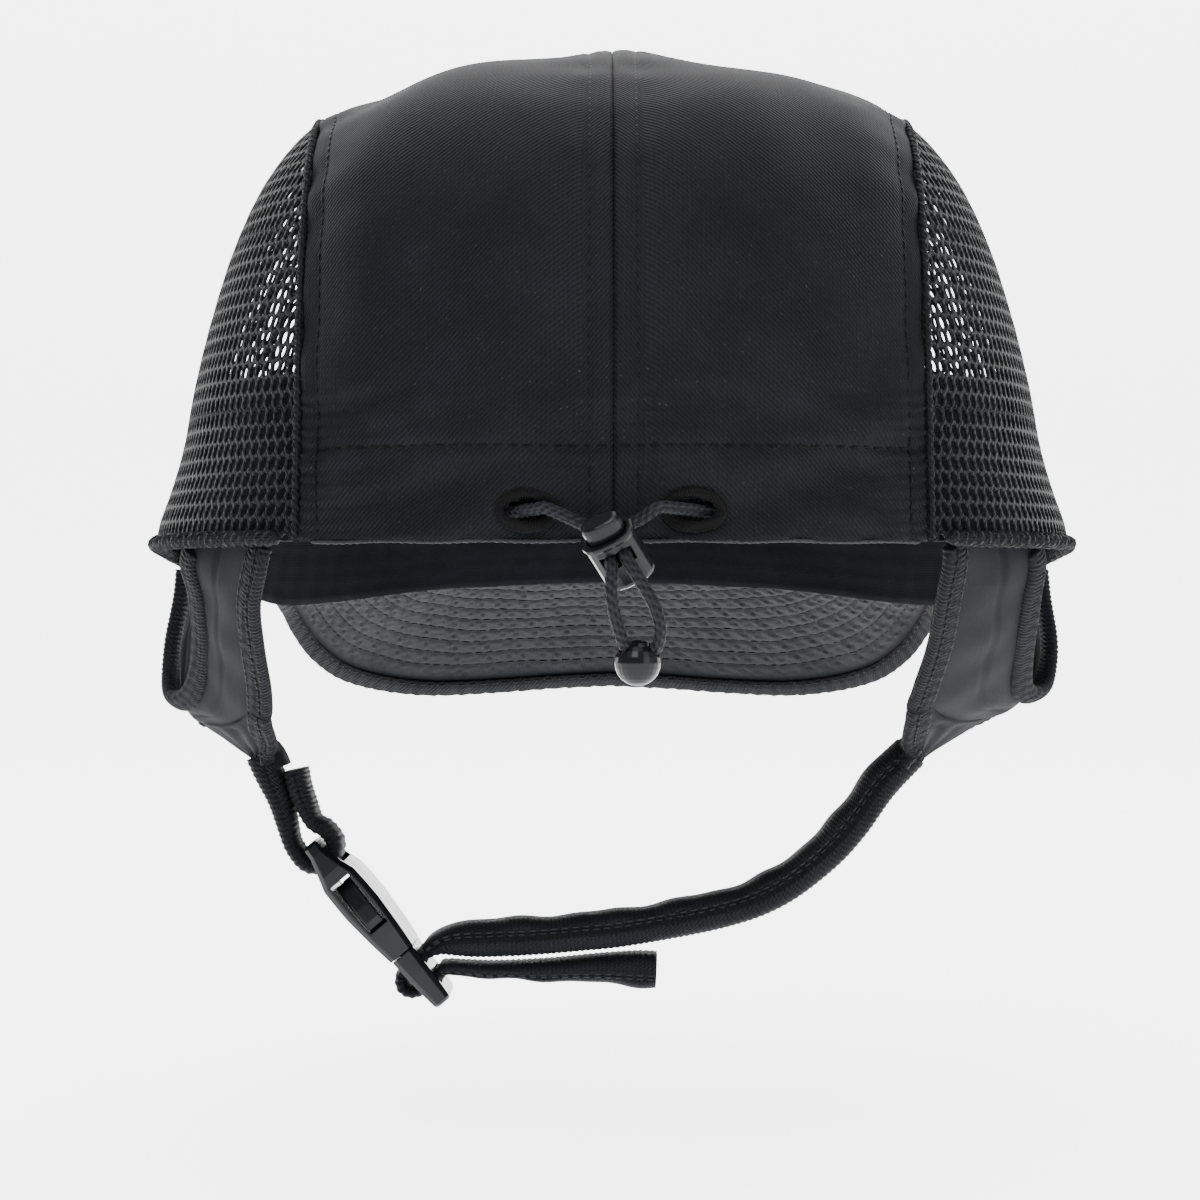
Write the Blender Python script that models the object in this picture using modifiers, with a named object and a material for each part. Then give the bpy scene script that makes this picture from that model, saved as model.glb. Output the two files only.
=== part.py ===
"""Surf cap with mesh sides, a short brim, a rear drawcord and a buckled chin strap.

The brim points along -Y, +X is the wearer's left, and the origin is the centre of the head opening in
the plane of the hem. Dimensions below are in millimetres; MM turns them into Blender's metres.
"""
import math

import bmesh
import bpy
import numpy as np
from mathutils import Matrix, Vector

MM = 0.001
GAP = 0.35  # between neighbouring pieces

# Crown: outlines as (half size, height), for the sides, the front and the back
SIDE_OUTLINE = [(98.6, -8), (98, 3), (95, 12), (92.4, 21), (90, 34), (86.3, 49), (81.5, 64), (75.5, 77),
                (68, 87), (60.5, 92.3), (49, 97), (35, 100.8), (20, 104), (8, 106.2), (0, 106.7)]
FRONT_OUTLINE = [(104, -8), (103, 3), (102, 15), (100, 34), (96.5, 49), (91, 64), (83, 77), (70, 89),
                 (56, 96.5), (40, 101.8), (26, 104.8), (13, 106.2), (0, 106.7)]
BACK_OUTLINE = [(103, -8), (102, 3), (101, 15), (99.5, 34), (96.5, 49), (91.5, 64), (84, 76),
                (73, 86.5), (60, 94), (45, 99.8), (30, 103.5), (15, 105.9), (0, 106.7)]
CROWN_TOP = 106.7
SQUARENESS = 2.3  # exponent of the plan outline, 2 is an ellipse
ARCH_CENTRE_Z = 30.0
SEAM_X = 61.0  # planes of the two side seams
FRONT_SEAM = 1.722  # arch station of the seam between the front and back panels
HEM_DIP, HEM_DIP_ANGLE, HEM_DIP_WIDTH = 6.5, 52.0, 28.0  # the hem drops at the brim's corners
WOVEN_THICK, MESH_THICK = 1.0, 1.6

# Sewn inside the crown
TAPE_THICK, TAPE_LOW_Z = 0.6, 36.5
SIDE_TAPE_HALF, SIDE_TAPE_DEPTH = 3.5, 3.0
CENTRE_TAPE_HALF, CENTRE_TAPE_DEPTH = 5.0, 1.9
SWEATBAND_DEPTH, SWEATBAND_THICK, SWEATBAND_TOP = 5.7, 1.2, 35.0
CASING_HALF, CASING_DEPTH, CASING_THICK, CASING_TOP = 58.0, 4.5, 0.7, 18.0

# Brim: outer edge from the wearer's left corner to the middle
BRIM_ANGLE = 50.0
BRIM_EDGE = [(80.2, -69, -8.2), (81.2, -79, -8.8), (80.3, -90, -11.8), (78.8, -101, -17), (75.5, -113, -23.3),
             (70, -125, -28.2), (61, -136.5, -31.2), (48, -146, -32.8), (32, -152.5, -32.3),
             (16, -156.2, -31.2), (0, -157.3, -30.4)]
BRIM_START_DEPTH, BRIM_DROP, BRIM_BOW = 3.0, 1.2, 0.04
COVER_THICK, CORE_THICK, BRIM_GAP = 0.6, 1.6, 0.3
BINDING_THICK, BINDING_LEG, BINDING_GAP = 0.7, 5.0, 0.5

# Ear yokes: matching points of the ear opening's edge and of the outer edge, rear to front.
# The first and last pair lie inside the crown's wall, given as (y, z).
YOKE_THICK, YOKE_DEPTH, EDGE_TUBE = 1.4, 2.9, 1.7
YOKE_LEFT = {
    "rear": ((56, 2), (77.5, 2)),
    "inner": [(86, 51, -4), (85.2, 44, -11), (85.5, 34, -20), (87.5, 22, -28), (91, 10, -33),
              (95, 0, -33.5), (97.2, -7, -29.5), (97.4, -10.5, -21), (95.6, -12.5, -10)],
    "outer": [(70.5, 74, -4), (72.8, 66, -12), (73.2, 54, -21.5), (73.3, 40, -31), (75.5, 27, -37.5),
              (84, 8, -39.5), (91.5, -14, -36.5), (95, -28, -26), (91.8, -37, -13)],
    "front": ((-13.5, 3), (-41, 3))}
YOKE_RIGHT = {
    "rear": ((56, 2), (79, 2)),
    "inner": [(-86, 51, -4), (-85.8, 44, -11), (-86, 33, -19), (-86.5, 22, -26), (-88, 11, -31),
              (-91.5, 2, -32.3), (-95, -5, -29.5), (-97, -9.5, -21.5), (-95.8, -12.5, -10)],
    "outer": [(-67.5, 74.5, -4), (-67, 66, -12), (-66.5, 54, -21), (-65, 40, -30), (-65, 27, -36),
              (-74.5, 8, -38.3), (-86, -12, -35), (-93.5, -27, -27), (-91.8, -37, -13)],
    "front": ((-13.5, 3), (-41, 3))}

# Chin strap, in the plane y = STRAP_Y, hanging from a swing axis along X
STRAP_Y, SWING_Z = 6.0, -44.0
STRAP_WIDTH = 15.0
STRAP_RIGHT = [(-65, -44.5, 6.2), (-58, -51.5, 7.2), (-51.5, -60.5, 7.2), (-45, -67.3, 7.2),
               (-35, -74.5, 7.2), (-23, -78.8, 7.2), (-15.2, -80.6, 7.2)]
STRAP_END = [(-14.8, -80.7, 7.2), (-4, -82.4, 7.2), (7, -83.6, 7.2), (18, -84.5, 7.2), (28, -84.9, 7.2),
             (33.5, -85.1, 6.4), (37.3, -85.9, 4.6)]
STRAP_TAIL = [(32, -91.4, 2.6), (25, -91.9, 3.2), (14, -91.8, 4.0), (3, -91.5, 5.4), (-5, -91.6, 6.6),
              (-9.6, -91.8, 6.8)]
LOOP_IN = [(76, -45, 5.0), (74.3, -49.5, 4.4), (72.2, -54.5, 3.8), (70.9, -58.6, 3.5)]
LOOP_OUT = [(66.6, -55.4, 3.4), (67.9, -51.8, 3.4), (68.6, -48.3, 3.4)]
LOOP_THICK, TURN_THICK = 3.4, 2.4

# Side-release buckle, in its own axes: u from the loop bar to the ladder's end, v along Y, w across
BUCKLE_START = Vector((65.0, STRAP_Y, -63.9))
BUCKLE_ANGLE = 49.7  # below the horizontal, towards -X
FEMALE_PROFILE = [(0, 10.2, 1.2), (0.7, 11.4, 1.7), (2.6, 12.2, 1.75), (7.6, 12.5, 3.3), (10, 12.5, 4.1),
                  (14, 12.5, 4.25), (18, 12.5, 4.25), (26, 12.3, 3.6), (30.8, 11.8, 3.05)]
LOOP_SLOT = (2.6, 7.6)
BAR_LENGTH = 20.6
CAVITY = (9.6, 10.3, 2.55)  # start, half width, half thickness
WINDOW = (10.2, 23.3)
MALE_PROFILE = [(31.1, 11.8, 2.8), (36, 11.9, 2.6), (41, 11.8, 2.3), (44.0, 11.4, 2.0), (44.6, 10.6, 1.6)]
LADDER_SLOTS = ((32.7, 35.8), (38.0, 41.1))
TONGUE = (15.0, 32.0, 1.6, 1.6)  # start, end, half width, half thickness
PRONG_HALF_THICK, PRONG_PIVOT = 2.0, (30.2, 8.5)
PRONG_OUTLINE = [(30.7, 7.4), (30.7, 9.6), (23.0, 9.6), (22.6, 12.4), (21.0, 12.6), (17.5, 12.3),
                 (14.0, 11.4), (11.6, 10.0), (10.9, 8.6), (11.6, 7.6), (14, 7.5), (20, 7.3)]

# Drawcord and its lock
CORD_RADIUS = 1.25
CORD_BORE = CORD_RADIUS + 0.35
EYELETS = {"left": 16.4, "right": -15.2}
EYELET_Z = 5.6
EYELET_HOLE = (4.3, 2.4)
EYELET_RING = (5.3, 3.3, 0.5)
CORD_IN_CASING = [(28, 2.65), (18, 2.65), (10, 2.65), (6, 2.65), (3.9, 2.6), (1.8, 1.7), (0, 0.2),
                  (-1.8, -1.4), (-3.8, -2.9)]  # (distance outboard of the eyelet, depth in the wall)
LOCK_CENTRE = Vector((-0.9, 112.5, -2.9))
LOCK_UP = Vector((0.432, 0.588, 0.684)).normalized()
LOCK_SLOT_AT, LOCK_SPACING, LOCK_STROKE = 1.3, 1.6, 2.2
BARREL = (5.0, 3.6, -6.0, 5.5)  # half sizes along the two cross axes, bottom and top
BARREL_BORE = (4.2, 2.75, -5.0)
PLUNGER = (3.9, 2.4, -1.5, 9.0)
SPRING_COIL, SPRING_WIRE, SPRING_TURNS = 1.9, 0.22, 3
CORD_TO_LOCK = {"left": [(8.4, 106.9, 3.9), (4.6, 107.6, 2.1)],
                "right": [(-8.4, 107.2, 5.9), (-5.2, 107.9, 3.9)]}
CORD_FROM_LOCK = {"left": [(0.5, 118.3, -10.5), (-0.2, 117.9, -14.5), (-1.3, 116.8, -18.2), (-2.7, 115.6, -21.2)],
                  "right": [(-5.3, 118.7, -8.6), (-7.4, 118.5, -12.4), (-8.5, 117.5, -16.2), (-8.1, 116.1, -19.6),
                            (-6.4, 115.2, -21.9)]}
BEAD_CENTRE, BEAD_RADIUS = Vector((-4.4, 114.6, -23.2)), 4.3

COLOURS = {"woven": (0.010, 0.011, 0.014), "mesh": (0.008, 0.008, 0.010), "knit": (0.012, 0.012, 0.015),
           "binding": (0.011, 0.011, 0.014), "tape": (0.016, 0.016, 0.018), "foam": (0.05, 0.05, 0.055),
           "plastic": (0.012, 0.013, 0.015), "cord": (0.012, 0.012, 0.014), "steel": (0.5, 0.5, 0.52)}
ROUGHNESS = {"plastic": 0.3, "steel": 0.3}


# ---------------------------------------------------------------- scene and materials

def clear_scene():
    for obj in list(bpy.data.objects):
        bpy.data.objects.remove(obj, do_unlink=True)


def collection(name):
    found = bpy.data.collections.new(name)
    bpy.context.scene.collection.children.link(found)
    return found


def material(name, kind):
    made = bpy.data.materials.new(name)
    made.use_nodes = True
    shader = made.node_tree.nodes["Principled BSDF"]
    shader.inputs["Base Color"].default_value = (*COLOURS[kind], 1)
    shader.inputs["Roughness"].default_value = ROUGHNESS.get(kind, 0.8)
    shader.inputs["Metallic"].default_value = 1.0 if kind == "steel" else 0.0
    return made


def add_object(name, mesh, kind, smooth=True):
    obj = bpy.data.objects.new(name, mesh)
    PARTS.objects.link(obj)
    obj.data.materials.append(material(name, kind))
    if smooth:
        mesh.shade_smooth()
        mesh.set_sharp_from_angle(angle=math.radians(40))
    return obj


def parent_to(axis_empty, *objects):
    """Hang objects on an empty that stands on their joint's axis, without moving them."""
    for obj in objects:
        obj.parent = axis_empty
        obj.matrix_parent_inverse = axis_empty.matrix_world.inverted()


def axis_empty(name, place):
    empty = bpy.data.objects.new(name, None)
    empty.location = Vector(place) * MM
    PARTS.objects.link(empty)
    bpy.context.view_layer.update()
    return empty


# ---------------------------------------------------------------- curves and solids

def smooth_path(points, count):
    """count points, evenly spread along a smooth curve through the given ones."""
    p = np.array(points, float)
    p = np.vstack([2 * p[0] - p[1], p, 2 * p[-1] - p[-2]])
    fine = []
    for k in range(1, len(p) - 2):
        for t in np.linspace(0, 1, 24, endpoint=False):
            a, b, c, d = p[k - 1], p[k], p[k + 1], p[k + 2]
            fine.append(0.5 * (2 * b + (c - a) * t + (2 * a - 5 * b + 4 * c - d) * t ** 2
                               + (3 * b - a - 3 * c + d) * t ** 3))
    fine = np.array(fine + [p[-2]])
    along = np.concatenate([[0], np.cumsum(np.linalg.norm(np.diff(fine, axis=0), axis=1))])
    at = np.linspace(0, along[-1], count)
    return np.column_stack([np.interp(at, along, fine[:, k]) for k in range(fine.shape[1])])


def mesh_from(name, points, faces):
    mesh = bpy.data.meshes.new(name)
    work = bmesh.new()
    verts = [work.verts.new(Vector(p) * MM) for p in points]
    for face in faces:
        work.faces.new([verts[k] for k in face])
    bmesh.ops.remove_doubles(work, verts=work.verts[:], dist=0.00001)
    bmesh.ops.dissolve_degenerate(work, edges=work.edges[:], dist=0.00001)
    bmesh.ops.recalc_face_normals(work, faces=work.faces[:])
    work.to_mesh(mesh)
    work.free()
    return mesh


def loft(name, rings, kind, smooth=True):
    """A closed body through rings of equally many points, with flat ends."""
    n = len(rings[0])
    points = [p for ring in rings for p in ring]
    faces = [list(range(n)), [(len(rings) - 1) * n + k for k in range(n)]]
    for r in range(len(rings) - 1):
        for k in range(n):
            a, b = r * n + k, r * n + (k + 1) % n
            faces.append([a, b, b + n, a + n])
    return add_object(name, mesh_from(name, points, faces), kind, smooth)


def shell(name, grid, thickness, kind, outside, closed=False):
    """An open grid of points with Solidify. outside is a point that its outer face looks away from."""
    rows, columns = len(grid), len(grid[0])
    points = [p for row in grid for p in row]
    faces = []
    for r in range(rows - 1):
        for c in range(columns if closed else columns - 1):
            d = (c + 1) % columns
            faces.append([r * columns + c, r * columns + d, (r + 1) * columns + d, (r + 1) * columns + c])
    mesh = mesh_from(name, points, faces)
    middle = mesh.polygons[len(mesh.polygons) // 2]
    if middle.normal.dot(middle.center - Vector(outside) * MM) < 0:
        mesh.flip_normals()
    obj = add_object(name, mesh, kind)
    solid = obj.modifiers.new("thickness", "SOLIDIFY")
    solid.thickness = thickness * MM
    solid.offset = -1
    solid.use_even_offset = False
    return obj


def tube(name, points, radius, kind, resolution=2):
    """A round cord or bound edge along a smooth curve's points."""
    data = bpy.data.curves.new(name, "CURVE")
    data.dimensions = "3D"
    data.bevel_depth = radius * MM
    data.bevel_resolution = resolution
    data.use_fill_caps = True
    spline = data.splines.new("POLY")
    spline.points.add(len(points) - 1)
    for place, p in zip(spline.points, points):
        place.co = (*(Vector(p) * MM), 1)
    obj = bpy.data.objects.new(name, data)
    PARTS.objects.link(obj)
    data.materials.append(material(name, kind))
    return obj


def as_cutter(obj):
    PARTS.objects.unlink(obj)
    CUTTERS.objects.link(obj)
    obj.hide_render = True
    obj.display_type = "WIRE"
    return obj


def mesh_of_curve(obj):
    """The curve's evaluated mesh with its caps welded, in place of the curve."""
    name, kind_material = obj.name, obj.data.materials[0]
    bpy.context.view_layer.update()
    mesh = bpy.data.meshes.new_from_object(obj.evaluated_get(bpy.context.evaluated_depsgraph_get()))
    work = bmesh.new()
    work.from_mesh(mesh)
    bmesh.ops.remove_doubles(work, verts=work.verts[:], dist=0.00001)
    bmesh.ops.recalc_face_normals(work, faces=work.faces[:])
    work.to_mesh(mesh)
    work.free()
    place = obj.matrix_world.copy()
    bpy.data.objects.remove(obj, do_unlink=True)
    made = bpy.data.objects.new(name, mesh)
    made.matrix_world = place
    PARTS.objects.link(made)
    if not mesh.materials:
        mesh.materials.append(kind_material)
    return made


def box_cutter(name, frame, low, high):
    """A box in a frame (origin, three axes), as a cutter."""
    origin, axes = frame
    corners = [(low[0] if k & 1 else high[0], low[1] if k & 2 else high[1], low[2] if k & 4 else high[2])
               for k in range(8)]
    points = [origin + axes[0] * c[0] + axes[1] * c[1] + axes[2] * c[2] for c in corners]
    faces = [(0, 1, 3, 2), (4, 6, 7, 5), (0, 4, 5, 1), (2, 3, 7, 6), (0, 2, 6, 4), (1, 5, 7, 3)]
    obj = bpy.data.objects.new(name, mesh_from(name, points, faces))
    PARTS.objects.link(obj)
    return as_cutter(obj)


def boolean(obj, other, operation="DIFFERENCE"):
    cut = obj.modifiers.new(operation.lower(), "BOOLEAN")
    cut.operation = operation
    cut.solver = "EXACT"
    cut.object = other


# ---------------------------------------------------------------- crown surface

def lookup(outline):
    fine = smooth_path(outline, 400)
    heights, sizes = fine[:, 1], np.maximum(fine[:, 0], 0.05)
    return lambda z: float(np.interp(z, heights, sizes))


HALF_WIDTH, FRONT_LENGTH, BACK_LENGTH = lookup(SIDE_OUTLINE), lookup(FRONT_OUTLINE), lookup(BACK_OUTLINE)


def crown_value(x, y, z):
    """Below 0 inside the crown, above 0 outside."""
    if z >= CROWN_TOP:
        return 9.0 + z - CROWN_TOP
    length = FRONT_LENGTH(z) if y < 0 else BACK_LENGTH(z)
    return (abs(x) / HALF_WIDTH(z)) ** SQUARENESS + (abs(y) / length) ** SQUARENESS - 1


def deepen(p, depth):
    """Move a point of the crown inwards along the surface's normal."""
    step = 0.4
    slope = Vector([crown_value(*(Vector(p) + step * e)) - crown_value(*(Vector(p) - step * e))
                    for e in (Vector((1, 0, 0)), Vector((0, 1, 0)), Vector((0, 0, 1)))])
    return Vector(p) - slope.normalized() * depth


def wall_y(x, z, front=False):
    length = FRONT_LENGTH(z) if front else BACK_LENGTH(z)
    return length * (1 - (abs(x) / HALF_WIDTH(z)) ** SQUARENESS) ** (1 / SQUARENESS) * (-1 if front else 1)


def side_x(y, z):
    length = FRONT_LENGTH(z) if y < 0 else BACK_LENGTH(z)
    return HALF_WIDTH(z) * (1 - (abs(y) / length) ** SQUARENESS) ** (1 / SQUARENESS)


def hem_z(x, y):
    """Height of the hem: level, with a dip at each corner of the brim."""
    angle = math.degrees(math.atan2(abs(x), -y))
    return -HEM_DIP * math.exp(-((angle - HEM_DIP_ANGLE) / HEM_DIP_WIDTH) ** 2)


def arch_point(x, t, depth=0.0):
    """Crown point in the plane x. t runs 0 to 1 up the rear wall, to 2 over the top, to 3 down the front."""
    if t <= 1:
        p = Vector((x, wall_y(x, t * ARCH_CENTRE_Z), t * ARCH_CENTRE_Z))
    elif t >= 2:
        low = hem_z(x, wall_y(x, 0, True))
        z = ARCH_CENTRE_Z + (t - 2) * (low - ARCH_CENTRE_Z)
        p = Vector((x, wall_y(x, z, True), z))
    else:
        turn = math.pi * (t - 1)
        near, far = 0.0, 160.0
        for _ in range(40):
            r = (near + far) / 2
            if crown_value(x, r * math.cos(turn), ARCH_CENTRE_Z + r * math.sin(turn)) < 0:
                near = r
            else:
                far = r
        p = Vector((x, near * math.cos(turn), ARCH_CENTRE_Z + near * math.sin(turn)))
    return deepen(p, depth) if depth else p


def ring_point(angle, z, depth=0.0):
    """Crown point at a compass angle from the front, at height z."""
    s, c = math.sin(angle), -math.cos(angle)
    length = FRONT_LENGTH(z) if c < 0 else BACK_LENGTH(z)
    r = ((abs(s) / HALF_WIDTH(z)) ** SQUARENESS + (abs(c) / length) ** SQUARENESS) ** (-1 / SQUARENESS)
    p = Vector((r * s, r * c, z))
    return deepen(p, depth) if depth else p


# ---------------------------------------------------------------- crown pieces

def back_panel(side, sign):
    xs = [sign * x for x in np.linspace(0.2, SEAM_X - 0.25, 7)]
    ts = [0, 0.33, 0.67] + list(np.linspace(1, FRONT_SEAM, 16))
    panel = shell(f"back_panel_{side}", [[arch_point(x, t) for x in xs] for t in ts],
                  WOVEN_THICK, "woven", (0, 0, ARCH_CENTRE_Z))
    x = EYELETS[side]
    bpy.ops.mesh.primitive_cylinder_add(vertices=16, radius=1, depth=12 * MM)
    hole = bpy.context.object
    hole.name = f"eyelet_hole_{side}"
    for c in list(hole.users_collection):
        c.objects.unlink(hole)
    PARTS.objects.link(hole)
    hole.data.transform(Matrix.Diagonal((EYELET_HOLE[0] * MM, EYELET_HOLE[1] * MM, 1, 1)))
    hole.data.transform(eyelet_frame(x, 0))
    boolean(panel, as_cutter(hole))


def eyelet_frame(x, depth):
    """Placement at an eyelet: local X along the hem, local Z out of the wall."""
    centre = Vector((x, wall_y(x, EYELET_Z), EYELET_Z))
    out = (centre - deepen(centre, 1)).normalized()
    across = Vector((0, 0, 1)).cross(out).normalized()
    turn = Matrix((across, out.cross(across), out)).transposed().to_4x4()
    return Matrix.Translation((centre - out * depth) * MM) @ turn


def front_panel():
    xs = np.linspace(-SEAM_X + 0.25, SEAM_X - 0.25, 13)
    ts = list(np.linspace(FRONT_SEAM + 0.002, 2, 7)) + [2.33, 2.67, 3]
    shell("front_panel", [[arch_point(x, t) for x in xs] for t in ts], WOVEN_THICK, "woven",
          (0, 0, ARCH_CENTRE_Z))


def side_mesh(side, sign):
    top, low = CROWN_TOP, 60.0
    for _ in range(40):
        middle = (top + low) / 2
        top, low = (middle, low) if HALF_WIDTH(middle) < SEAM_X + 0.25 else (top, middle)
    grid = []
    for height in (0, 9, 19, 30, 42, 54, 65, 74, 82, 88, low):
        row = []
        for c in np.linspace(-1, 1, 15):
            z = height
            for _ in range(3):
                y = math.sin(math.pi / 2 * c) * abs(wall_y(min(SEAM_X + 0.25, HALF_WIDTH(z)), z, c < 0))
                x = side_x(y, z)
                z = height + hem_z(x, y) * max(0, 1 - height / 40)
            row.append(Vector((sign * x, y, z)))
        grid.append(row)
    shell(f"side_mesh_{side}", grid, MESH_THICK, "mesh", (0, 0, ARCH_CENTRE_Z))


def seam_tapes():
    def tape(name, x_middle, half, depth, last):
        xs = (x_middle - half, x_middle, x_middle + half)
        first = 1 + math.asin((TAPE_LOW_Z - ARCH_CENTRE_Z) / 90) / math.pi
        ts = np.linspace(first, last, 22)
        shell(name, [[arch_point(x, t, depth) for x in xs] for t in ts], TAPE_THICK, "tape",
              (0, 0, ARCH_CENTRE_Z))
    tape("centre_seam_tape", 0, CENTRE_TAPE_HALF, CENTRE_TAPE_DEPTH, FRONT_SEAM)
    front_end = 2 - math.asin((TAPE_LOW_Z - ARCH_CENTRE_Z) / 90) / math.pi
    tape("side_seam_tape_left", SEAM_X, SIDE_TAPE_HALF, SIDE_TAPE_DEPTH, front_end)
    tape("side_seam_tape_right", -SEAM_X, SIDE_TAPE_HALF, SIDE_TAPE_DEPTH, front_end)


def sweatband():
    grid = []
    for share in (0, 0.5, 1):
        row = []
        for k in range(48):
            angle = 2 * math.pi * k / 48
            edge = ring_point(angle, 0)
            low = hem_z(edge.x, edge.y) + 0.8
            row.append(ring_point(angle, low + share * (SWEATBAND_TOP - low), SWEATBAND_DEPTH))
        grid.append(row)
    shell("sweatband", grid, SWEATBAND_THICK, "knit", (0, 0, 17), closed=True)


def drawcord_casing():
    xs = np.linspace(-CASING_HALF, CASING_HALF, 13)
    zs = (1.0, CASING_TOP / 2, CASING_TOP)
    grid = [[deepen(Vector((x, wall_y(x, z), z)), CASING_DEPTH) for x in xs] for z in zs]
    shell("drawcord_casing", grid, CASING_THICK, "woven", (0, 0, 9))


def eyelet(side):
    bpy.ops.mesh.primitive_torus_add(major_segments=24, minor_segments=8, major_radius=1, minor_radius=0.3)
    source = bpy.context.object
    work = bmesh.new()
    work.from_mesh(source.data)
    bpy.data.objects.remove(source, do_unlink=True)
    half_x, half_z, wire = EYELET_RING
    for v in work.verts:  # keep the wire round while the ring becomes an oval
        flat = Vector((v.co.x, v.co.y, 0))
        out = flat.normalized()
        offset = (flat.length - 1) / 0.3 * wire
        v.co = Vector((out.x * (half_x + offset), out.y * (half_z + offset), v.co.z / 0.3 * wire)) * MM
    work.transform(eyelet_frame(EYELETS[side], -GAP - wire))
    mesh = bpy.data.meshes.new(f"eyelet_{side}")
    work.to_mesh(mesh)
    work.free()
    add_object(f"eyelet_{side}", mesh, "binding")


# ---------------------------------------------------------------- brim

def brim_surface():
    """Grid of the brim's top face: rows from the hem outwards, columns from left to right."""
    half = smooth_path(BRIM_EDGE, 13)
    outer = [Vector(p) for p in half] + [Vector((-p[0], p[1], p[2])) for p in half[-2::-1]]
    inner = []
    for k in range(len(outer)):
        angle = math.radians(BRIM_ANGLE) * (1 - 2 * k / (len(outer) - 1))
        p = ring_point(angle, -2, BRIM_START_DEPTH)
        p.z = hem_z(p.x, p.y) - BRIM_DROP
        inner.append(p)
    grid = []
    for t in np.linspace(0, 1, 6):
        row = []
        for a, b in zip(inner, outer):
            p = a.lerp(b, t)
            p.z += BRIM_BOW * (b - a).length * 4 * t * (1 - t)
            row.append(p)
        grid.append(row)
    return grid


def grid_normals(grid):
    """Unit normals of a grid whose rows and columns are open, pointing up."""
    p = np.array([[tuple(v) for v in row] for row in grid])
    normals = np.cross(np.gradient(p, axis=1), np.gradient(p, axis=0))
    normals /= np.linalg.norm(normals, axis=2, keepdims=True)
    return normals * np.sign(normals[:, :, 2:3])


def brim():
    grid = brim_surface()
    normals = grid_normals(grid)

    def lowered(depth):
        return [[p - Vector(n) * depth for p, n in zip(row, row_n)] for row, row_n in zip(grid, normals)]
    above = (0, -120, -300)
    core_at = COVER_THICK + BRIM_GAP
    lower_at = core_at + CORE_THICK + BRIM_GAP
    stack = lower_at + COVER_THICK
    shell("brim_upper_cover", grid, COVER_THICK, "woven", above)
    shell("brim_core", lowered(core_at), CORE_THICK, "foam", above)
    shell("brim_lower_cover", lowered(lower_at), COVER_THICK, "woven", above)
    rings = []
    for k in range(1, len(grid[0]) - 1):
        edge, normal = grid[-1][k], Vector(normals[-1][k])
        out = (grid[-1][k] - grid[-2][k]).normalized()
        leg = min(BINDING_LEG, 0.7 * (grid[-1][k] - grid[0][k]).length)
        top, low = BINDING_GAP + BINDING_THICK, -stack - BINDING_GAP - BINDING_THICK
        web_in, web_out = BINDING_GAP, BINDING_GAP + BINDING_THICK
        section = [(-leg, top), (web_out - 0.5, top), (web_out, top - 0.5), (web_out, low + 0.5),
                   (web_out - 0.5, low), (-leg, low), (-leg, low + BINDING_THICK),
                   (web_in, low + BINDING_THICK), (web_in, BINDING_GAP), (-leg, BINDING_GAP)]
        rings.append([edge + out * e + normal * n for e, n in section])
    loft("brim_binding", rings, "binding")


# ---------------------------------------------------------------- ear yokes

def wall_spot(y, z, sign):
    p = deepen(Vector((side_x(y, z), y, z)), YOKE_DEPTH)
    return Vector((sign * p.x, p.y, p.z))


def ear_yoke(side, spec, sign):
    inner = [wall_spot(*spec["rear"][0], sign), *spec["inner"], wall_spot(*spec["front"][0], sign)]
    outer = [wall_spot(*spec["rear"][1], sign), *spec["outer"], wall_spot(*spec["front"][1], sign)]
    count = 2 * len(inner) + 1
    inner, outer = matched_paths(inner, outer, count)
    grid = [[a.lerp(b, t) for a, b in zip(inner, outer)] for t in (0, 0.33, 0.67, 1)]
    shell(f"ear_yoke_{side}", grid, YOKE_THICK, "knit", (0, 0, -60))
    ear_edge = beside(inner, outer)
    outer_edge = beside(outer, inner)
    tube(f"ear_binding_{side}", ear_edge[2:-2], EDGE_TUBE, "binding")
    last = max(k for k, p in enumerate(outer_edge) if p.y > 24)
    tube(f"rear_binding_{side}", outer_edge[2:last + 1], EDGE_TUBE, "binding")
    first = min(k for k, p in enumerate(outer_edge) if p.y < -12)
    tube(f"front_binding_{side}", outer_edge[first:-3], EDGE_TUBE, "binding")


def beside(edge, other):
    """A path clear of a yoke's edge, in the middle of the yoke's thickness. other is its opposite edge."""
    path = []
    for k, (p, q) in enumerate(zip(edge, other)):
        along = (edge[min(k + 1, len(edge) - 1)] - edge[max(k - 1, 0)]).normalized()
        away = p - q
        away = (away - along * away.dot(along)).normalized()
        inward = along.cross(away)
        inward *= -math.copysign(1, inward.x * p.x)
        path.append(p + away * (EDGE_TUBE + GAP) + inward * YOKE_THICK / 2)
    return path


def matched_paths(first, second, count):
    """Both curves sampled at the same shares of their point lists."""
    def sample(points):
        p = np.array([tuple(v) for v in points], float)
        p = np.vstack([2 * p[0] - p[1], p, 2 * p[-1] - p[-2]])
        out = []
        for at in np.linspace(0, len(points) - 1, count):
            k = min(int(at), len(points) - 2)
            t = at - k
            a, b, c, d = p[k], p[k + 1], p[k + 2], p[k + 3]
            out.append(Vector(0.5 * (2 * b + (c - a) * t + (2 * a - 5 * b + 4 * c - d) * t ** 2
                                     + (3 * b - a - 3 * c + d) * t ** 3)))
        return out
    return sample(first), sample(second)


# ---------------------------------------------------------------- buckle and chin strap

def buckle_axes():
    turn = math.radians(BUCKLE_ANGLE)
    along = Vector((-math.cos(turn), 0, -math.sin(turn)))
    across = Vector((-math.sin(turn), 0, math.cos(turn)))
    return along, Vector((0, 1, 0)), across


def buckle_point(u, v, w):
    along, side, across = buckle_axes()
    return BUCKLE_START + along * u + side * v + across * w


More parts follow.
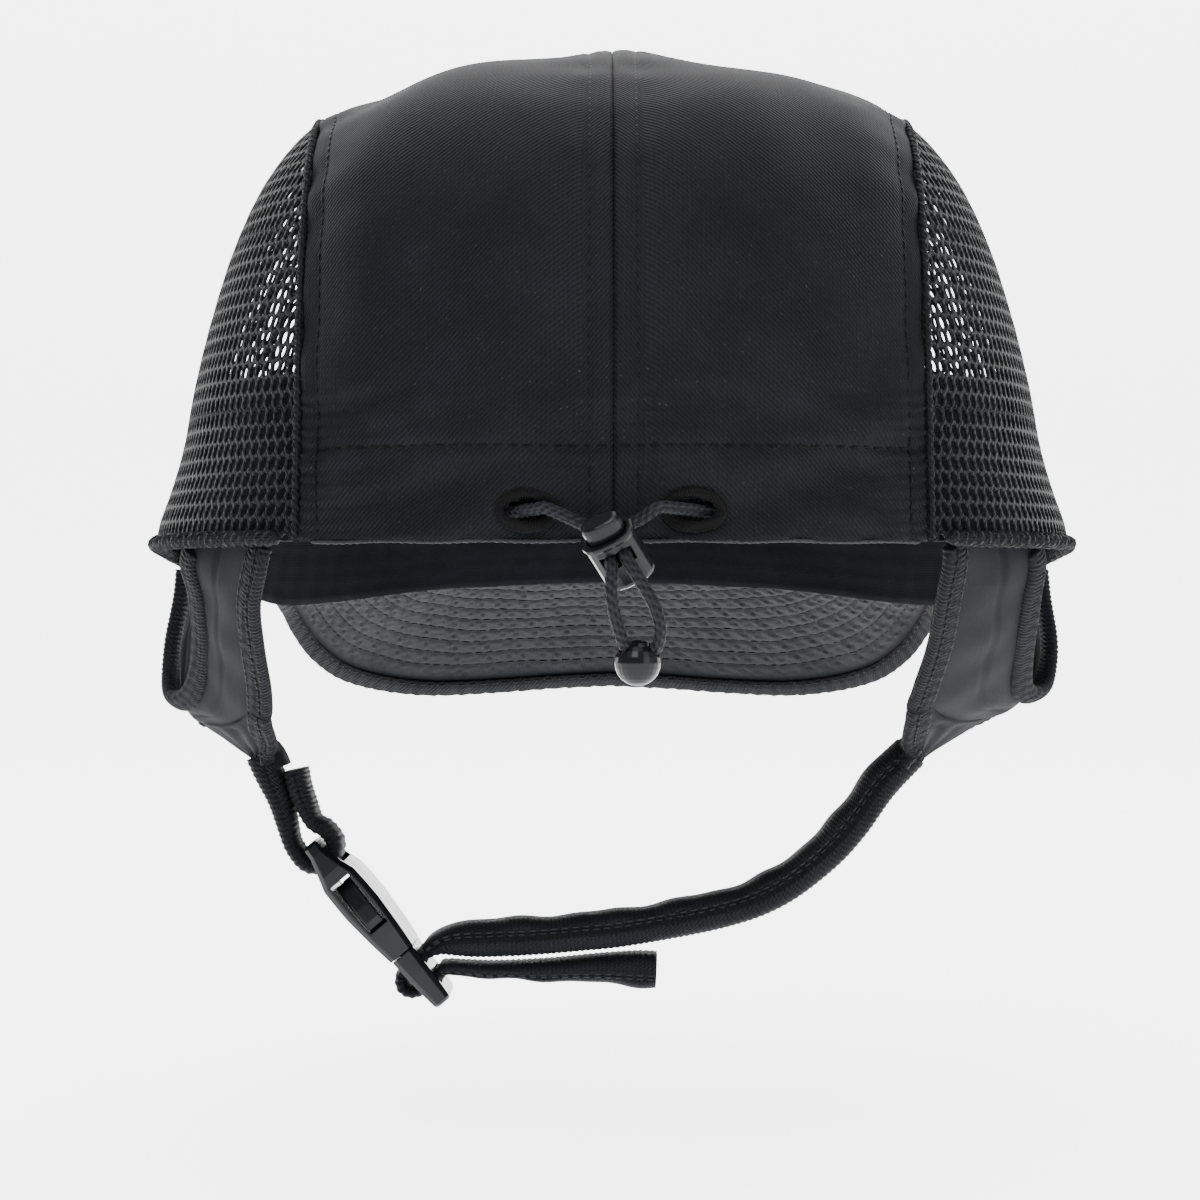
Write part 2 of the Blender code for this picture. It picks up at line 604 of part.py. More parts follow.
def buckle_body(name, profile, kind="plastic"):
    rings = []
    for u, half_v, half_w in profile:
        cut = min(1.1, 0.45 * half_w)
        corner = [(half_v, half_w - cut), (half_v - cut, half_w), (cut - half_v, half_w), (-half_v, half_w - cut),
                  (-half_v, cut - half_w), (cut - half_v, -half_w), (half_v - cut, -half_w), (half_v, cut - half_w)]
        rings.append([buckle_point(u, v, w) for v, w in corner])
    return loft(name, rings, kind)


def buckle_cut(target, name, low, high, operation="DIFFERENCE"):
    boolean(target, box_cutter(name, (BUCKLE_START, buckle_axes()), low, high), operation)


def buckle():
    female = buckle_body("buckle_female", FEMALE_PROFILE)
    reach = 20.0
    buckle_cut(female, "loop_slot", (LOOP_SLOT[0], -BAR_LENGTH / 2, -reach), (LOOP_SLOT[1], BAR_LENGTH / 2, reach))
    start, half_v, half_w = CAVITY
    buckle_cut(female, "cavity", (start, -half_v, -half_w), (reach * 2, half_v, half_w))
    buckle_cut(female, "windows", (WINDOW[0], -reach, -half_w + 0.1), (WINDOW[1], reach, half_w - 0.1))
    male = buckle_body("buckle_male", MALE_PROFILE)
    for k, (near, far) in enumerate(LADDER_SLOTS):
        buckle_cut(male, f"ladder_slot_{k}", (near, -BAR_LENGTH / 2 + 1, -reach), (far, BAR_LENGTH / 2 - 1, reach))
    start, end, half_v, half_w = TONGUE
    buckle_cut(male, "tongue", (start, -half_v, -half_w), (end, half_v, half_w), "UNION")
    prongs = {}
    for name, sign in (("rear", 1), ("front", -1)):
        outline = PRONG_OUTLINE[::sign]
        rings = [[buckle_point(u, sign * v, w) for u, v in outline] for w in (-PRONG_HALF_THICK, PRONG_HALF_THICK)]
        prong = loft(f"buckle_prong_{name}", rings, "plastic")
        soften = prong.modifiers.new("round", "BEVEL")
        soften.width = 0.45 * MM
        soften.segments = 2
        soften.limit_method = "ANGLE"
        prongs[name] = prong
    return female, male, prongs


def strap(name, stations, width=STRAP_WIDTH, kind="knit"):
    """A strap through (x, z, thickness) stations, lying along Y."""
    path = np.array([(s[0], s[1]) for s in stations], float)
    tangent = np.gradient(path, axis=0)
    rings = []
    for (x, z, thick), (tx, tz) in zip(stations, tangent):
        along = Vector((tx, 0, tz)).normalized()
        normal = Vector((-along.z, 0, along.x))
        half_v, half_w = width / 2, thick / 2
        cut = 0.55 * half_w
        corner = [(half_v, half_w - cut), (half_v - cut, half_w), (cut - half_v, half_w), (-half_v, half_w - cut),
                  (-half_v, cut - half_w), (cut - half_v, -half_w), (half_v - cut, -half_w), (half_v, cut - half_w)]
        rings.append([Vector((x, STRAP_Y + v, z)) + normal * w for v, w in corner])
    return loft(name, rings, kind)


def flat(u, w, thick):
    """A buckle place as a strap station."""
    p = buckle_point(u, 0, w)
    return p.x, p.z, thick


def chin_strap():
    right = strap("strap_right", smooth_path(STRAP_RIGHT, 12))
    bend_at = sum(LADDER_SLOTS[0]) / 2
    fold_at = sum(LADDER_SLOTS[1]) / 2
    end_path = STRAP_END + [flat(bend_at, 3.4, TURN_THICK)]
    end = strap("strap_right_end", smooth_path(end_path, 13))
    middle = (bend_at + fold_at) / 2
    turn = [flat(bend_at, 3.0, TURN_THICK), flat(bend_at, 0, TURN_THICK), flat(bend_at, -2.7, TURN_THICK),
            flat(bend_at + 0.9, -4.5, TURN_THICK), flat(middle, -5.3, TURN_THICK),
            flat(fold_at - 0.9, -4.5, TURN_THICK), flat(fold_at, -2.7, TURN_THICK),
            flat(fold_at, 0, TURN_THICK), flat(fold_at, 3.0, TURN_THICK)]
    turn = strap("strap_turn", turn)
    ladder_exit = [flat(fold_at, w, TURN_THICK) for w in (3.5, 4.5)]
    tail = strap("strap_tail", ladder_exit + list(smooth_path(STRAP_TAIL, 10)))
    bar = LOOP_SLOT[0] / 2 + 0.5
    around = [flat(bar + 3.6 * math.cos(a), 4.05 * math.sin(a), LOOP_THICK)
              for a in np.radians((-90, -60, -30, 0, 30, 60, 90))]
    path = (LOOP_IN + [flat(-3, -3.4, LOOP_THICK), flat(-0.5, -3.95, LOOP_THICK)] + around
            + [flat(-0.5, 3.95, LOOP_THICK), flat(-3.2, 3.1, LOOP_THICK)] + LOOP_OUT)
    loop = strap("strap_loop_left", path)
    return right, end, turn, tail, loop


# ---------------------------------------------------------------- drawcord and lock

def lock_axes():
    wide = Vector((-0.89, 0.16, 0.43))
    wide = (wide - LOCK_UP * wide.dot(LOCK_UP)).normalized()
    return wide, wide.cross(LOCK_UP), LOCK_UP


def lock_point(wide, through, up):
    axes = lock_axes()
    return LOCK_CENTRE + axes[0] * wide + axes[1] * through + axes[2] * up


def oval(half_wide, half_through, up, count=16):
    """A rounded oval ring across the lock's axis."""
    ring = []
    for k in range(count):
        a = 2 * math.pi * (k + 0.5) / count
        c, s = math.cos(a), math.sin(a)
        ring.append(lock_point(half_wide * math.copysign(abs(c) ** 0.75, c),
                               half_through * math.copysign(abs(s) ** 0.75, s), up))
    return ring


def cord_lock():
    wide, through, low, top = BARREL
    rings = [oval(wide * f, through * f, up) for f, up in
             ((0.82, low), (0.95, low + 0.5), (1, low + 1.3), (1, top - 1.2), (1.07, top - 0.9),
              (1.07, top - 0.2), (1.0, top))]
    barrel = loft("cord_lock_barrel", rings, "plastic")
    bore = loft("barrel_bore", [oval(*BARREL_BORE), oval(*BARREL_BORE[:2], top + 3)], "plastic")
    boolean(barrel, as_cutter(bore))
    frame = (LOCK_CENTRE, lock_axes())
    half_slot = LOCK_SPACING + CORD_BORE
    slot = box_cutter("cord_slot", frame, (-half_slot, -20, LOCK_SLOT_AT - CORD_BORE),
                      (half_slot, 20, LOCK_SLOT_AT + CORD_BORE))
    boolean(barrel, slot)
    wide, through, low, top = PLUNGER
    rings = [oval(wide, through, low), oval(wide, through, top - 0.9), oval(wide * 0.93, through * 0.9, top - 0.3),
             oval(wide * 0.8, through * 0.7, top)]
    plunger = loft("cord_lock_plunger", rings, "plastic")
    window = box_cutter("plunger_window", frame, (-half_slot, -20, LOCK_SLOT_AT - CORD_BORE),
                        (half_slot, 20, LOCK_SLOT_AT + CORD_BORE + LOCK_STROKE))
    boolean(plunger, window)
    bottom, reach = BARREL_BORE[2] + GAP + SPRING_WIRE, PLUNGER[2] - GAP - SPRING_WIRE
    turns = 12 * SPRING_TURNS
    coil = [lock_point(SPRING_COIL * math.cos(2 * math.pi * k / 12), SPRING_COIL * math.sin(2 * math.pi * k / 12),
                       bottom + (reach - bottom) * k / turns) for k in range(turns + 1)]
    spring = tube("cord_lock_spring", coil, SPRING_WIRE, "steel", resolution=1)
    return barrel, plunger, spring


def cord_route(side):
    """Hand-laid route: in the casing, out of the eyelet, through the lock and down to the bead."""
    x0 = EYELETS[side]
    outboard = 1 if x0 > 0 else -1
    route = []
    for away, depth in CORD_IN_CASING:
        x = x0 + outboard * away
        route.append(deepen(Vector((x, wall_y(x, EYELET_Z), EYELET_Z)), depth))
    route += [Vector(p) for p in CORD_TO_LOCK[side]]
    aside = -outboard * LOCK_SPACING
    route += [lock_point(aside, h, LOCK_SLOT_AT) for h in (-5.2, -2.5, 0, 2.5, 4.6)]
    route += [Vector(p) for p in CORD_FROM_LOCK[side]]
    return route


def drawcords():
    bpy.ops.mesh.primitive_uv_sphere_add(segments=24, ring_count=12, radius=BEAD_RADIUS * MM)
    source = bpy.context.object
    mesh = source.data
    bpy.data.objects.remove(source, do_unlink=True)
    mesh.transform(Matrix.Translation(BEAD_CENTRE * MM))
    mesh.name = "cord_bead"
    bead = add_object("cord_bead", mesh, "plastic")
    for side in EYELETS:
        route = cord_route(side)
        tube(f"drawcord_{side}", smooth_path(route, 38), CORD_RADIUS, "cord", resolution=2)
        last = route[-1] + (route[-1] - route[-2]).normalized() * 0.5
        socket = tube(f"bead_socket_{side}", smooth_path(route[-3:-1] + [last], 8), CORD_BORE, "cord")
        boolean(bead, as_cutter(mesh_of_curve(socket)))
    return bead


# ---------------------------------------------------------------- assembly

def build():
    back_panel("left", 1)
    back_panel("right", -1)
    front_panel()
    side_mesh("left", 1)
    side_mesh("right", -1)
    seam_tapes()
    sweatband()
    drawcord_casing()
    for side in EYELETS:
        eyelet(side)
    brim()
    ear_yoke("left", YOKE_LEFT, 1)
    ear_yoke("right", YOKE_RIGHT, -1)
    female, male, prongs = buckle()
    right, end, turn, tail, loop = chin_strap()
    swing = axis_empty("swing_axis", (0, STRAP_Y, SWING_Z))
    parent_to(swing, female, right, end, loop)
    release = axis_empty("release_axis", buckle_point(31.1, 0, 0))
    parent_to(release, male, turn, tail)
    for name, sign in (("rear", 1), ("front", -1)):
        pivot = axis_empty(f"prong_axis_{name}", buckle_point(PRONG_PIVOT[0], sign * PRONG_PIVOT[1], 0))
        parent_to(pivot, prongs[name])
    barrel, plunger, spring = cord_lock()
    bead = drawcords()
    parent_to(axis_empty("lock_axis", LOCK_CENTRE), barrel, spring, bead)
    parent_to(axis_empty("plunger_axis", lock_point(0, 0, PLUNGER[3])), plunger)


clear_scene()
PARTS, CUTTERS = collection("surf_cap"), collection("cutters")
build()
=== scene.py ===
"""Looks of the surf cap: woven and mesh crown, stitched brim, bound yokes and strap, on a white studio floor.

Lengths are millimetres until MM turns them into Blender's metres. The crown, brim, yoke and strap outlines
repeat the part's own, so that each piece lies where its CAD solid does.
"""
import contextlib
import math

import bmesh
import bpy
import numpy as np
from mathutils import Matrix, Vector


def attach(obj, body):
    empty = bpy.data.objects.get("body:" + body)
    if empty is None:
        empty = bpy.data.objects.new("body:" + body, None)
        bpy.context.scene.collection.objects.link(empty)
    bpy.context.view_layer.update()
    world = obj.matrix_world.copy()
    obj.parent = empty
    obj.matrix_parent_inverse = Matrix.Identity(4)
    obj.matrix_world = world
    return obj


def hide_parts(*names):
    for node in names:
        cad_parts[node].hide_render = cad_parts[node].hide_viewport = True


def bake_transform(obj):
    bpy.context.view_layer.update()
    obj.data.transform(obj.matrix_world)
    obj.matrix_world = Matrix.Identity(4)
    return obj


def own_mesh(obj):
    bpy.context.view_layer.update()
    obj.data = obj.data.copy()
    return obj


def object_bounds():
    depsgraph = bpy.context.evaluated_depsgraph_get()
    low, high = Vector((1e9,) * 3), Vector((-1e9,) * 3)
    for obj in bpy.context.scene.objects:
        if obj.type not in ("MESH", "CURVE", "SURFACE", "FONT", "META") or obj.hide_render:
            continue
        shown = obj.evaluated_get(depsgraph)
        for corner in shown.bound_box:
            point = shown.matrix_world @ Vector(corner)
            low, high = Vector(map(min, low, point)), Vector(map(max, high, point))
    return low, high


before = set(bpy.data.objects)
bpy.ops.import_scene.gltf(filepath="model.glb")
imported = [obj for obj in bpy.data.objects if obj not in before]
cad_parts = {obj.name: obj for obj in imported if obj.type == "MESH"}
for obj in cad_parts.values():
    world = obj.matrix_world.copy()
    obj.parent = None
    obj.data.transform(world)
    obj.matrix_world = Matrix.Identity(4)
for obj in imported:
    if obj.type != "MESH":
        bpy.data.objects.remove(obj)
CAD_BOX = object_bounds()
MM = 0.001

# Crown outlines as (half size, height)
SIDE_OUTLINE = [(98.6, -8), (98, 3), (95, 12), (92.4, 21), (90, 34), (86.3, 49), (81.5, 64), (75.5, 77),
                (68, 87), (60.5, 92.3), (49, 97), (35, 100.8), (20, 104), (8, 106.2), (0, 106.7)]
FRONT_OUTLINE = [(104, -8), (103, 3), (102, 15), (100, 34), (96.5, 49), (91, 64), (83, 77), (70, 89),
                 (56, 96.5), (40, 101.8), (26, 104.8), (13, 106.2), (0, 106.7)]
BACK_OUTLINE = [(103, -8), (102, 3), (101, 15), (99.5, 34), (96.5, 49), (91.5, 64), (84, 76),
                (73, 86.5), (60, 94), (45, 99.8), (30, 103.5), (15, 105.9), (0, 106.7)]
CROWN_TOP, SQUARENESS, ARCH_CENTRE_Z = 106.7, 2.3, 30.0
SEAM_X, FRONT_SEAM = 61.0, 1.722
HEM_DIP, HEM_DIP_ANGLE, HEM_DIP_WIDTH = 6.5, 52.0, 28.0
WOVEN_THICK, TAPE_THICK = 1.0, 0.6
TOPSTITCH_CENTRE, TOPSTITCH_SIDE, CASING_TOP = 4.6, 57.9, 18.0
SWEATBAND_TOP, SWEATBAND_DEPTH, SWEATBAND_FRONT_DROP, CASING_DEPTH = 35.0, 5.75, 7.0, 4.5
TAPE_HALF_WIDTH, SEAM_TAPE_DEPTH = (5.0, 3.5), (1.9, 3.0)  # each of the centre tape, then the side ones

# Hexagonal mesh
CELL_WIDE, CELL_HIGH, HOLE_SHARE, MESH_THICK = 2.75, 4.3, 0.73, 0.6

# Brim
BRIM_ANGLE = 50.0
BRIM_EDGE = [(80.2, -69, -8.2), (81.2, -79, -8.8), (80.3, -90, -11.8), (78.8, -101, -17), (75.5, -113, -23.3),
             (70, -125, -28.2), (61, -136.5, -31.2), (48, -146, -32.8), (32, -152.5, -32.3),
             (16, -156.2, -31.2), (0, -157.3, -30.4)]
BRIM_START_DEPTH, BRIM_DROP, BRIM_BOW, BRIM_STACK = 3.0, 1.2, 0.04, 3.4
QUILT_PITCH = 5.6

# Ear yokes
YOKE_DEPTH = 2.9
YOKES = {
    "left": (1, (56, 2), (77.5, 2),
             [(86, 51, -4), (85.2, 44, -11), (85.5, 34, -20), (87.5, 22, -28), (91, 10, -33),
              (95, 0, -33.5), (97.2, -7, -29.5), (97.4, -10.5, -21), (95.6, -12.5, -10)],
             [(70.5, 74, -4), (72.8, 66, -12), (73.2, 54, -21.5), (73.3, 40, -31), (75.5, 27, -37.5),
              (84, 8, -39.5), (91.5, -14, -36.5), (95, -28, -26), (91.8, -37, -13)]),
    "right": (-1, (56, 2), (79, 2),
              [(-86, 51, -4), (-85.8, 44, -11), (-86, 33, -19), (-86.5, 22, -26), (-88, 11, -31),
               (-91.5, 2, -32.3), (-95, -5, -29.5), (-97, -9.5, -21.5), (-95.8, -12.5, -10)],
              [(-67.5, 74.5, -4), (-67, 66, -12), (-66.5, 54, -21), (-65, 40, -30), (-65, 27, -36),
               (-74.5, 8, -38.3), (-86, -12, -35), (-93.5, -27, -27), (-91.8, -37, -13)])}
YOKE_FRONT = ((-13.5, 3), (-41, 3))
NECK_HALF_WIDTH, LOOP_NECK_INSET = 7.0, 1.2
RIB_PITCH, RIB_HEIGHT = 1.15, 0.13

# Chin strap stations (x, z, thickness) in the plane y = STRAP_Y
STRAP_Y, STRAP_WIDTH, PLUMP = 6.0, 15.0, 1.1
STRAP_RIGHT = [(-65, -44.5, 6.6), (-58, -51.5, 7.2), (-51.5, -60.5, 7.2), (-45, -67.3, 7.2),
               (-35, -74.5, 7.2), (-23, -78.8, 7.2), (-15.2, -80.6, 7.2)]
STRAP_END = [(-14.8, -80.7, 7.2), (-4, -82.4, 7.2), (7, -83.6, 7.2), (18, -84.5, 7.2), (28, -84.9, 7.2),
             (33.5, -85.1, 6.4), (37.3, -85.9, 4.6)]
STRAP_TAIL = [(32, -91.4, 2.6), (25, -91.9, 3.2), (14, -91.8, 4.0), (3, -91.5, 5.4), (-5, -91.6, 6.6),
              (-9.6, -91.8, 6.8)]
LOOP_IN = [(76, -45, 6.2), (74.3, -49.5, 5.5), (72.2, -54.5, 4.6), (70.9, -58.6, 4.2)]
LOOP_OUT = [(66.6, -55.4, 4.2), (67.9, -51.8, 4.5), (68.6, -48.3, 4.6)]
LOOP_THICK, TURN_THICK, LOOP_BAR = 3.4, 2.4, 1.8
BUCKLE_START, BUCKLE_ANGLE = (65.0, -63.9), math.radians(49.7)
BEND_AT, FOLD_AT = 34.25, 39.55

# Drawcord
CORD_RADIUS, EYELET_Z, CORD_POINTS = 1.25, 5.6, 330
EYELETS = {"left": 16.4, "right": -15.2}
EYELET_HALF, PUNCH_HALF = (5.3, 3.3), (4.2, 2.2)  # worked ring and opening, across and up
CORD_IN_CASING = [(28, 2.65), (18, 2.65), (10, 2.65), (6, 2.65), (3.9, 2.6), (1.8, 1.7), (0, 0.2),
                  (-1.8, -1.4), (-3.8, -2.9)]
LOCK_CENTRE = np.array([-0.9, 112.5, -2.9])
LOCK_UP = np.array([0.432, 0.588, 0.684]) / np.linalg.norm([0.432, 0.588, 0.684])
LOCK_SLOT_AT, LOCK_SPACING = 1.3, 1.6
SPRING_FROM, SPRING_TO, SPRING_RADIUS, SPRING_WIRE, SPRING_TURNS = -4.4, -2.0, 1.9, 0.22, 3
CORD_TO_LOCK = {"left": [(8.4, 106.9, 3.9), (4.6, 107.6, 2.1)],
                "right": [(-8.4, 107.2, 5.9), (-5.2, 107.9, 3.9)]}
CORD_FROM_LOCK = {"left": [(0.5, 118.3, -10.5), (-0.2, 117.9, -14.5), (-1.3, 116.8, -18.2),
                           (-2.7, 115.6, -21.2)],
                  "right": [(-5.3, 118.7, -8.6), (-7.4, 118.5, -12.4), (-8.5, 117.5, -16.2),
                            (-8.1, 116.1, -19.6), (-6.4, 115.2, -21.9)]}


# Camera, paper and lights, in metres. Each light is (name, place, size, watts)
VIEW_ANGLE, CAMERA_AT = 19.9, (0.0026, 0.75, -0.0115)
FLOOR_DROP, PAPER_SIDE, PAPER_GLOW, WORLD_GLOW = 0.03, 4.0, 3.4, 0.45
PAPER_PROFILE = [(3.0, 0), (-1.2, 0), (-1.55, 0.06), (-1.8, 0.25), (-1.9, 0.6), (-1.9, 3.0)]
LIGHTS = [("key", (0.35, 0.9, 0.9), 0.7, 16), ("fill", (-0.8, 0.7, 0.35), 0.8, 9),
          ("top", (0.0, 0.0, 1.1), 0.9, 11), ("brim_light", (0.1, 0.5, -0.55), 0.5, 3)]


# ---- paths

def with_ends(points):
    """The points, and one more in line beyond each end."""
    p = np.array(points, float)
    return np.vstack([2 * p[0] - p[1], p, 2 * p[-1] - p[-2]])


def spline_point(p, k, t):
    """A share t of the way from p[k + 1] to p[k + 2], on a smooth curve."""
    a, b, c, d = p[k], p[k + 1], p[k + 2], p[k + 3]
    return 0.5 * (2 * b + (c - a) * t + (2 * a - 5 * b + 4 * c - d) * t ** 2
                  + (3 * b - a - 3 * c + d) * t ** 3)


def smooth_path(points, count):
    """count points, evenly spread along a smooth curve through the given ones."""
    p = with_ends(points)
    fine = [spline_point(p, k, t) for k in range(len(p) - 3) for t in np.linspace(0, 1, 24, endpoint=False)]
    return resample(np.array(fine + [p[-2]]), count)


def resample(path, count):
    along = arc_length(path)
    return point_at(path, along, np.linspace(0, along[-1], count))


def point_at(path, along, at):
    return np.stack([np.interp(at, along, path[:, k]) for k in range(path.shape[1])], axis=-1)


def arc_length(path):
    return np.concatenate([[0], np.cumsum(np.linalg.norm(np.diff(path, axis=0), axis=1))])


def unit(v):
    return v / np.maximum(np.linalg.norm(v, axis=-1, keepdims=True), 1e-9)


# ---- crown surface

def lookup(outline):
    fine = smooth_path(outline, 400)
    heights, sizes = fine[:, 1], np.maximum(fine[:, 0], 0.05)
    return lambda z: np.interp(z, heights, sizes)


HALF_WIDTH, FRONT_LENGTH, BACK_LENGTH = lookup(SIDE_OUTLINE), lookup(FRONT_OUTLINE), lookup(BACK_OUTLINE)


def crown_value(p):
    x, y, z = p[..., 0], p[..., 1], p[..., 2]
    length = np.where(y < 0, FRONT_LENGTH(z), BACK_LENGTH(z))
    inside = (np.abs(x) / HALF_WIDTH(z)) ** SQUARENESS + (np.abs(y) / length) ** SQUARENESS - 1
    return np.where(z >= CROWN_TOP, 9.0 + z - CROWN_TOP, inside)


def crown_normal(p):
    slope = [crown_value(p + 0.4 * e) - crown_value(p - 0.4 * e) for e in np.eye(3)]
    return unit(np.stack(slope, axis=-1))


def wall_y(x, z, front=False):
    length = FRONT_LENGTH(z) if front else BACK_LENGTH(z)
    y = length * (1 - (np.abs(x) / HALF_WIDTH(z)) ** SQUARENESS) ** (1 / SQUARENESS)
    return -y if front else y


def side_x(y, z):
    length = np.where(y < 0, FRONT_LENGTH(z), BACK_LENGTH(z))
    return HALF_WIDTH(z) * (1 - np.minimum(np.abs(y) / length, 1) ** SQUARENESS) ** (1 / SQUARENESS)


def hem_z(x, y):
    angle = np.degrees(np.arctan2(np.abs(x), -y))
    return -HEM_DIP * np.exp(-((angle - HEM_DIP_ANGLE) / HEM_DIP_WIDTH) ** 2)


def arch(x, t, depth=0.0):
    """Crown points in the planes x. t runs 0 to 1 up the rear wall, to 2 over the top, to 3 down the front."""
    x, t = np.broadcast_arrays(np.asarray(x, float), np.asarray(t, float))
    rise = np.clip(t, 0, 1) * ARCH_CENTRE_Z
    rear = np.stack([x, wall_y(x, rise), rise], axis=-1)
    low = hem_z(x, wall_y(x, 0.0, True))
    fall = ARCH_CENTRE_Z + np.clip(t - 2, 0, 1) * (low - ARCH_CENTRE_Z)
    fore = np.stack([x, wall_y(x, fall, True), fall], axis=-1)
    turn = np.pi * (np.clip(t, 1, 2) - 1)
    near, far = np.zeros_like(x), np.full_like(x, 160.0)
    for _ in range(34):
        r = (near + far) / 2
        inside = crown_value(np.stack([x, r * np.cos(turn), ARCH_CENTRE_Z + r * np.sin(turn)], axis=-1)) < 0
        near, far = np.where(inside, r, near), np.where(inside, far, r)
    over = np.stack([x, near * np.cos(turn), ARCH_CENTRE_Z + near * np.sin(turn)], axis=-1)
    p = np.where((t <= 1)[..., None], rear, np.where((t >= 2)[..., None], fore, over))
    return p - crown_normal(p) * np.asarray(depth)[..., None]


def ring(angle, z, depth=0.0):
    s, c = np.sin(angle), -np.cos(angle)
    length = np.where(c < 0, FRONT_LENGTH(z), BACK_LENGTH(z))
    r = ((np.abs(s) / HALF_WIDTH(z)) ** SQUARENESS + (np.abs(c) / length) ** SQUARENESS) ** (-1 / SQUARENESS)
    p = np.stack(np.broadcast_arrays(r * s, r * c, z), axis=-1)
    return p - crown_normal(p) * depth


# ---- materials

def shader_nodes(name):
    mat = bpy.data.materials.new(name)
    mat.use_nodes = True
    tree = mat.node_tree
    return mat, tree, tree.nodes["Principled BSDF"]


def node(tree, kind, **values):
    made = tree.nodes.new(kind)
    for key, value in values.items():
        if key in made.inputs:
            made.inputs[key].default_value = value
        else:
            setattr(made, key.lower(), value)
    return made


def combine(tree, operation, first, second):
    """The result of a sum or product of two sockets, or of a socket and a number."""
    made = node(tree, "ShaderNodeMath", operation=operation)
    tree.links.new(first, made.inputs[0])
    if isinstance(second, float):
        made.inputs[1].default_value = second
    else:
        tree.links.new(second, made.inputs[1])
    return made.outputs[0]


def noise(tree, vector, scale, detail):
    made = node(tree, "ShaderNodeTexNoise", Scale=scale, Detail=detail)
    tree.links.new(vector, made.inputs["Vector"])
    return made.outputs["Fac"]


DARKEN = 0.45  # cloth colours below are as seen in bright light


def textile(name, colour, pale, rough, pitches, bump, sheen=0.25, fleck=0.0):
    """Cloth or yarn: crossed wales in millimetres of the piece's weave map, with uneven colour and flecks."""
    mat, tree, shader = shader_nodes(name)
    link = tree.links.new
    uv = node(tree, "ShaderNodeUVMap", uv_map="weave").outputs["UV"]
    height = None
    for pitch, axis, weight in pitches:
        wave = node(tree, "ShaderNodeTexWave", Scale=0.314 / pitch, Distortion=0.6)
        wave.bands_direction = axis
        link(uv, wave.inputs["Vector"])
        part = combine(tree, "MULTIPLY", wave.outputs["Fac"], weight)
        height = part if height is None else combine(tree, "ADD", height, part)
    grain = combine(tree, "ADD", height, noise(tree, uv, 2.2, 4.0))
    relief = node(tree, "ShaderNodeBump", Strength=bump, Distance=0.0002)
    link(grain, relief.inputs["Height"])
    link(relief.outputs["Normal"], shader.inputs["Normal"])
    mottle = combine(tree, "MULTIPLY", noise(tree, uv, 0.05, 3.0), grain)
    tint = node(tree, "ShaderNodeValToRGB")
    tint.color_ramp.elements[0].color = (*[c * DARKEN for c in colour], 1)
    tint.color_ramp.elements[1].color = (*[c * DARKEN for c in pale], 1)
    tint.color_ramp.elements[0].position = 0.25
    link(mottle, tint.inputs["Fac"])
    colour_out = tint.outputs["Color"]
    if fleck:
        only = node(tree, "ShaderNodeMapRange")
        only.inputs["From Min"].default_value = 0.70
        only.inputs["From Max"].default_value = 0.78
        link(noise(tree, uv, 1.7, 2.0), only.inputs["Value"])
        blend = node(tree, "ShaderNodeMix", data_type="RGBA")
        link(only.outputs["Result"], blend.inputs["Factor"])
        link(colour_out, blend.inputs[6])
        blend.inputs[7].default_value = (fleck, fleck, fleck * 1.1, 1)
        colour_out = blend.outputs[2]
    link(colour_out, shader.inputs["Base Color"])
    shader.inputs["Roughness"].default_value = rough
    shader.inputs["Sheen Weight"].default_value = sheen * 0.06
    shader.inputs["Sheen Roughness"].default_value = 0.45
    shader.inputs["Specular IOR Level"].default_value = 0.05
    return mat


def moulded(name, colour, rough, metallic=0.0, grain=0.08):
    mat, tree, shader = shader_nodes(name)
    link = tree.links.new
    place = node(tree, "ShaderNodeTexCoord").outputs["Object"]
    fine, broad = noise(tree, place, 2600.0, 3.0), noise(tree, place, 140.0, 4.0)
    relief = node(tree, "ShaderNodeBump", Strength=grain, Distance=0.0001)
    link(fine, relief.inputs["Height"])
    soft = node(tree, "ShaderNodeBevel", Radius=0.0004)
    link(soft.outputs["Normal"], relief.inputs["Normal"])
    link(relief.outputs["Normal"], shader.inputs["Normal"])
    wear = node(tree, "ShaderNodeMapRange")
    wear.inputs["To Min"].default_value = rough * 0.8
    wear.inputs["To Max"].default_value = rough * 1.35
    link(broad, wear.inputs["Value"])
    link(wear.outputs["Result"], shader.inputs["Roughness"])
    tint = node(tree, "ShaderNodeValToRGB")
    tint.color_ramp.elements[0].color = (*colour, 1)
    tint.color_ramp.elements[1].color = (*[c * 1.5 for c in colour], 1)
    link(broad, tint.inputs["Fac"])
    link(tint.outputs["Color"], shader.inputs["Base Color"])
    shader.inputs["Metallic"].default_value = metallic
    shader.inputs["Specular IOR Level"].default_value = 0.14
    return mat


WOVEN = textile("microfibre_twill", (0.0045, 0.005, 0.0068), (0.012, 0.0135, 0.017), 0.62,
                [(0.55, "DIAGONAL", 1.0), (0.9, "X", 0.3)], 0.5, sheen=0.10, fleck=0.03)
YARN = textile("mesh_yarn", (0.0035, 0.0037, 0.0045), (0.014, 0.015, 0.018), 0.5,
               [(0.7, "DIAGONAL", 1.0), (0.5, "X", 0.5)], 0.8, sheen=0.12)
TRICOT = textile("tricot", (0.0045, 0.005, 0.0075), (0.012, 0.013, 0.018), 0.75,
                 [(0.45, "X", 0.7), (0.6, "Y", 0.4)], 0.4, sheen=0.22, fleck=0.02)
RIB = textile("ribbed_elastic", (0.005, 0.0055, 0.0075), (0.017, 0.018, 0.023), 0.6,
              [(0.9, "Y", 0.6), (0.6, "DIAGONAL", 0.6)], 0.7, sheen=0.25, fleck=0.03)
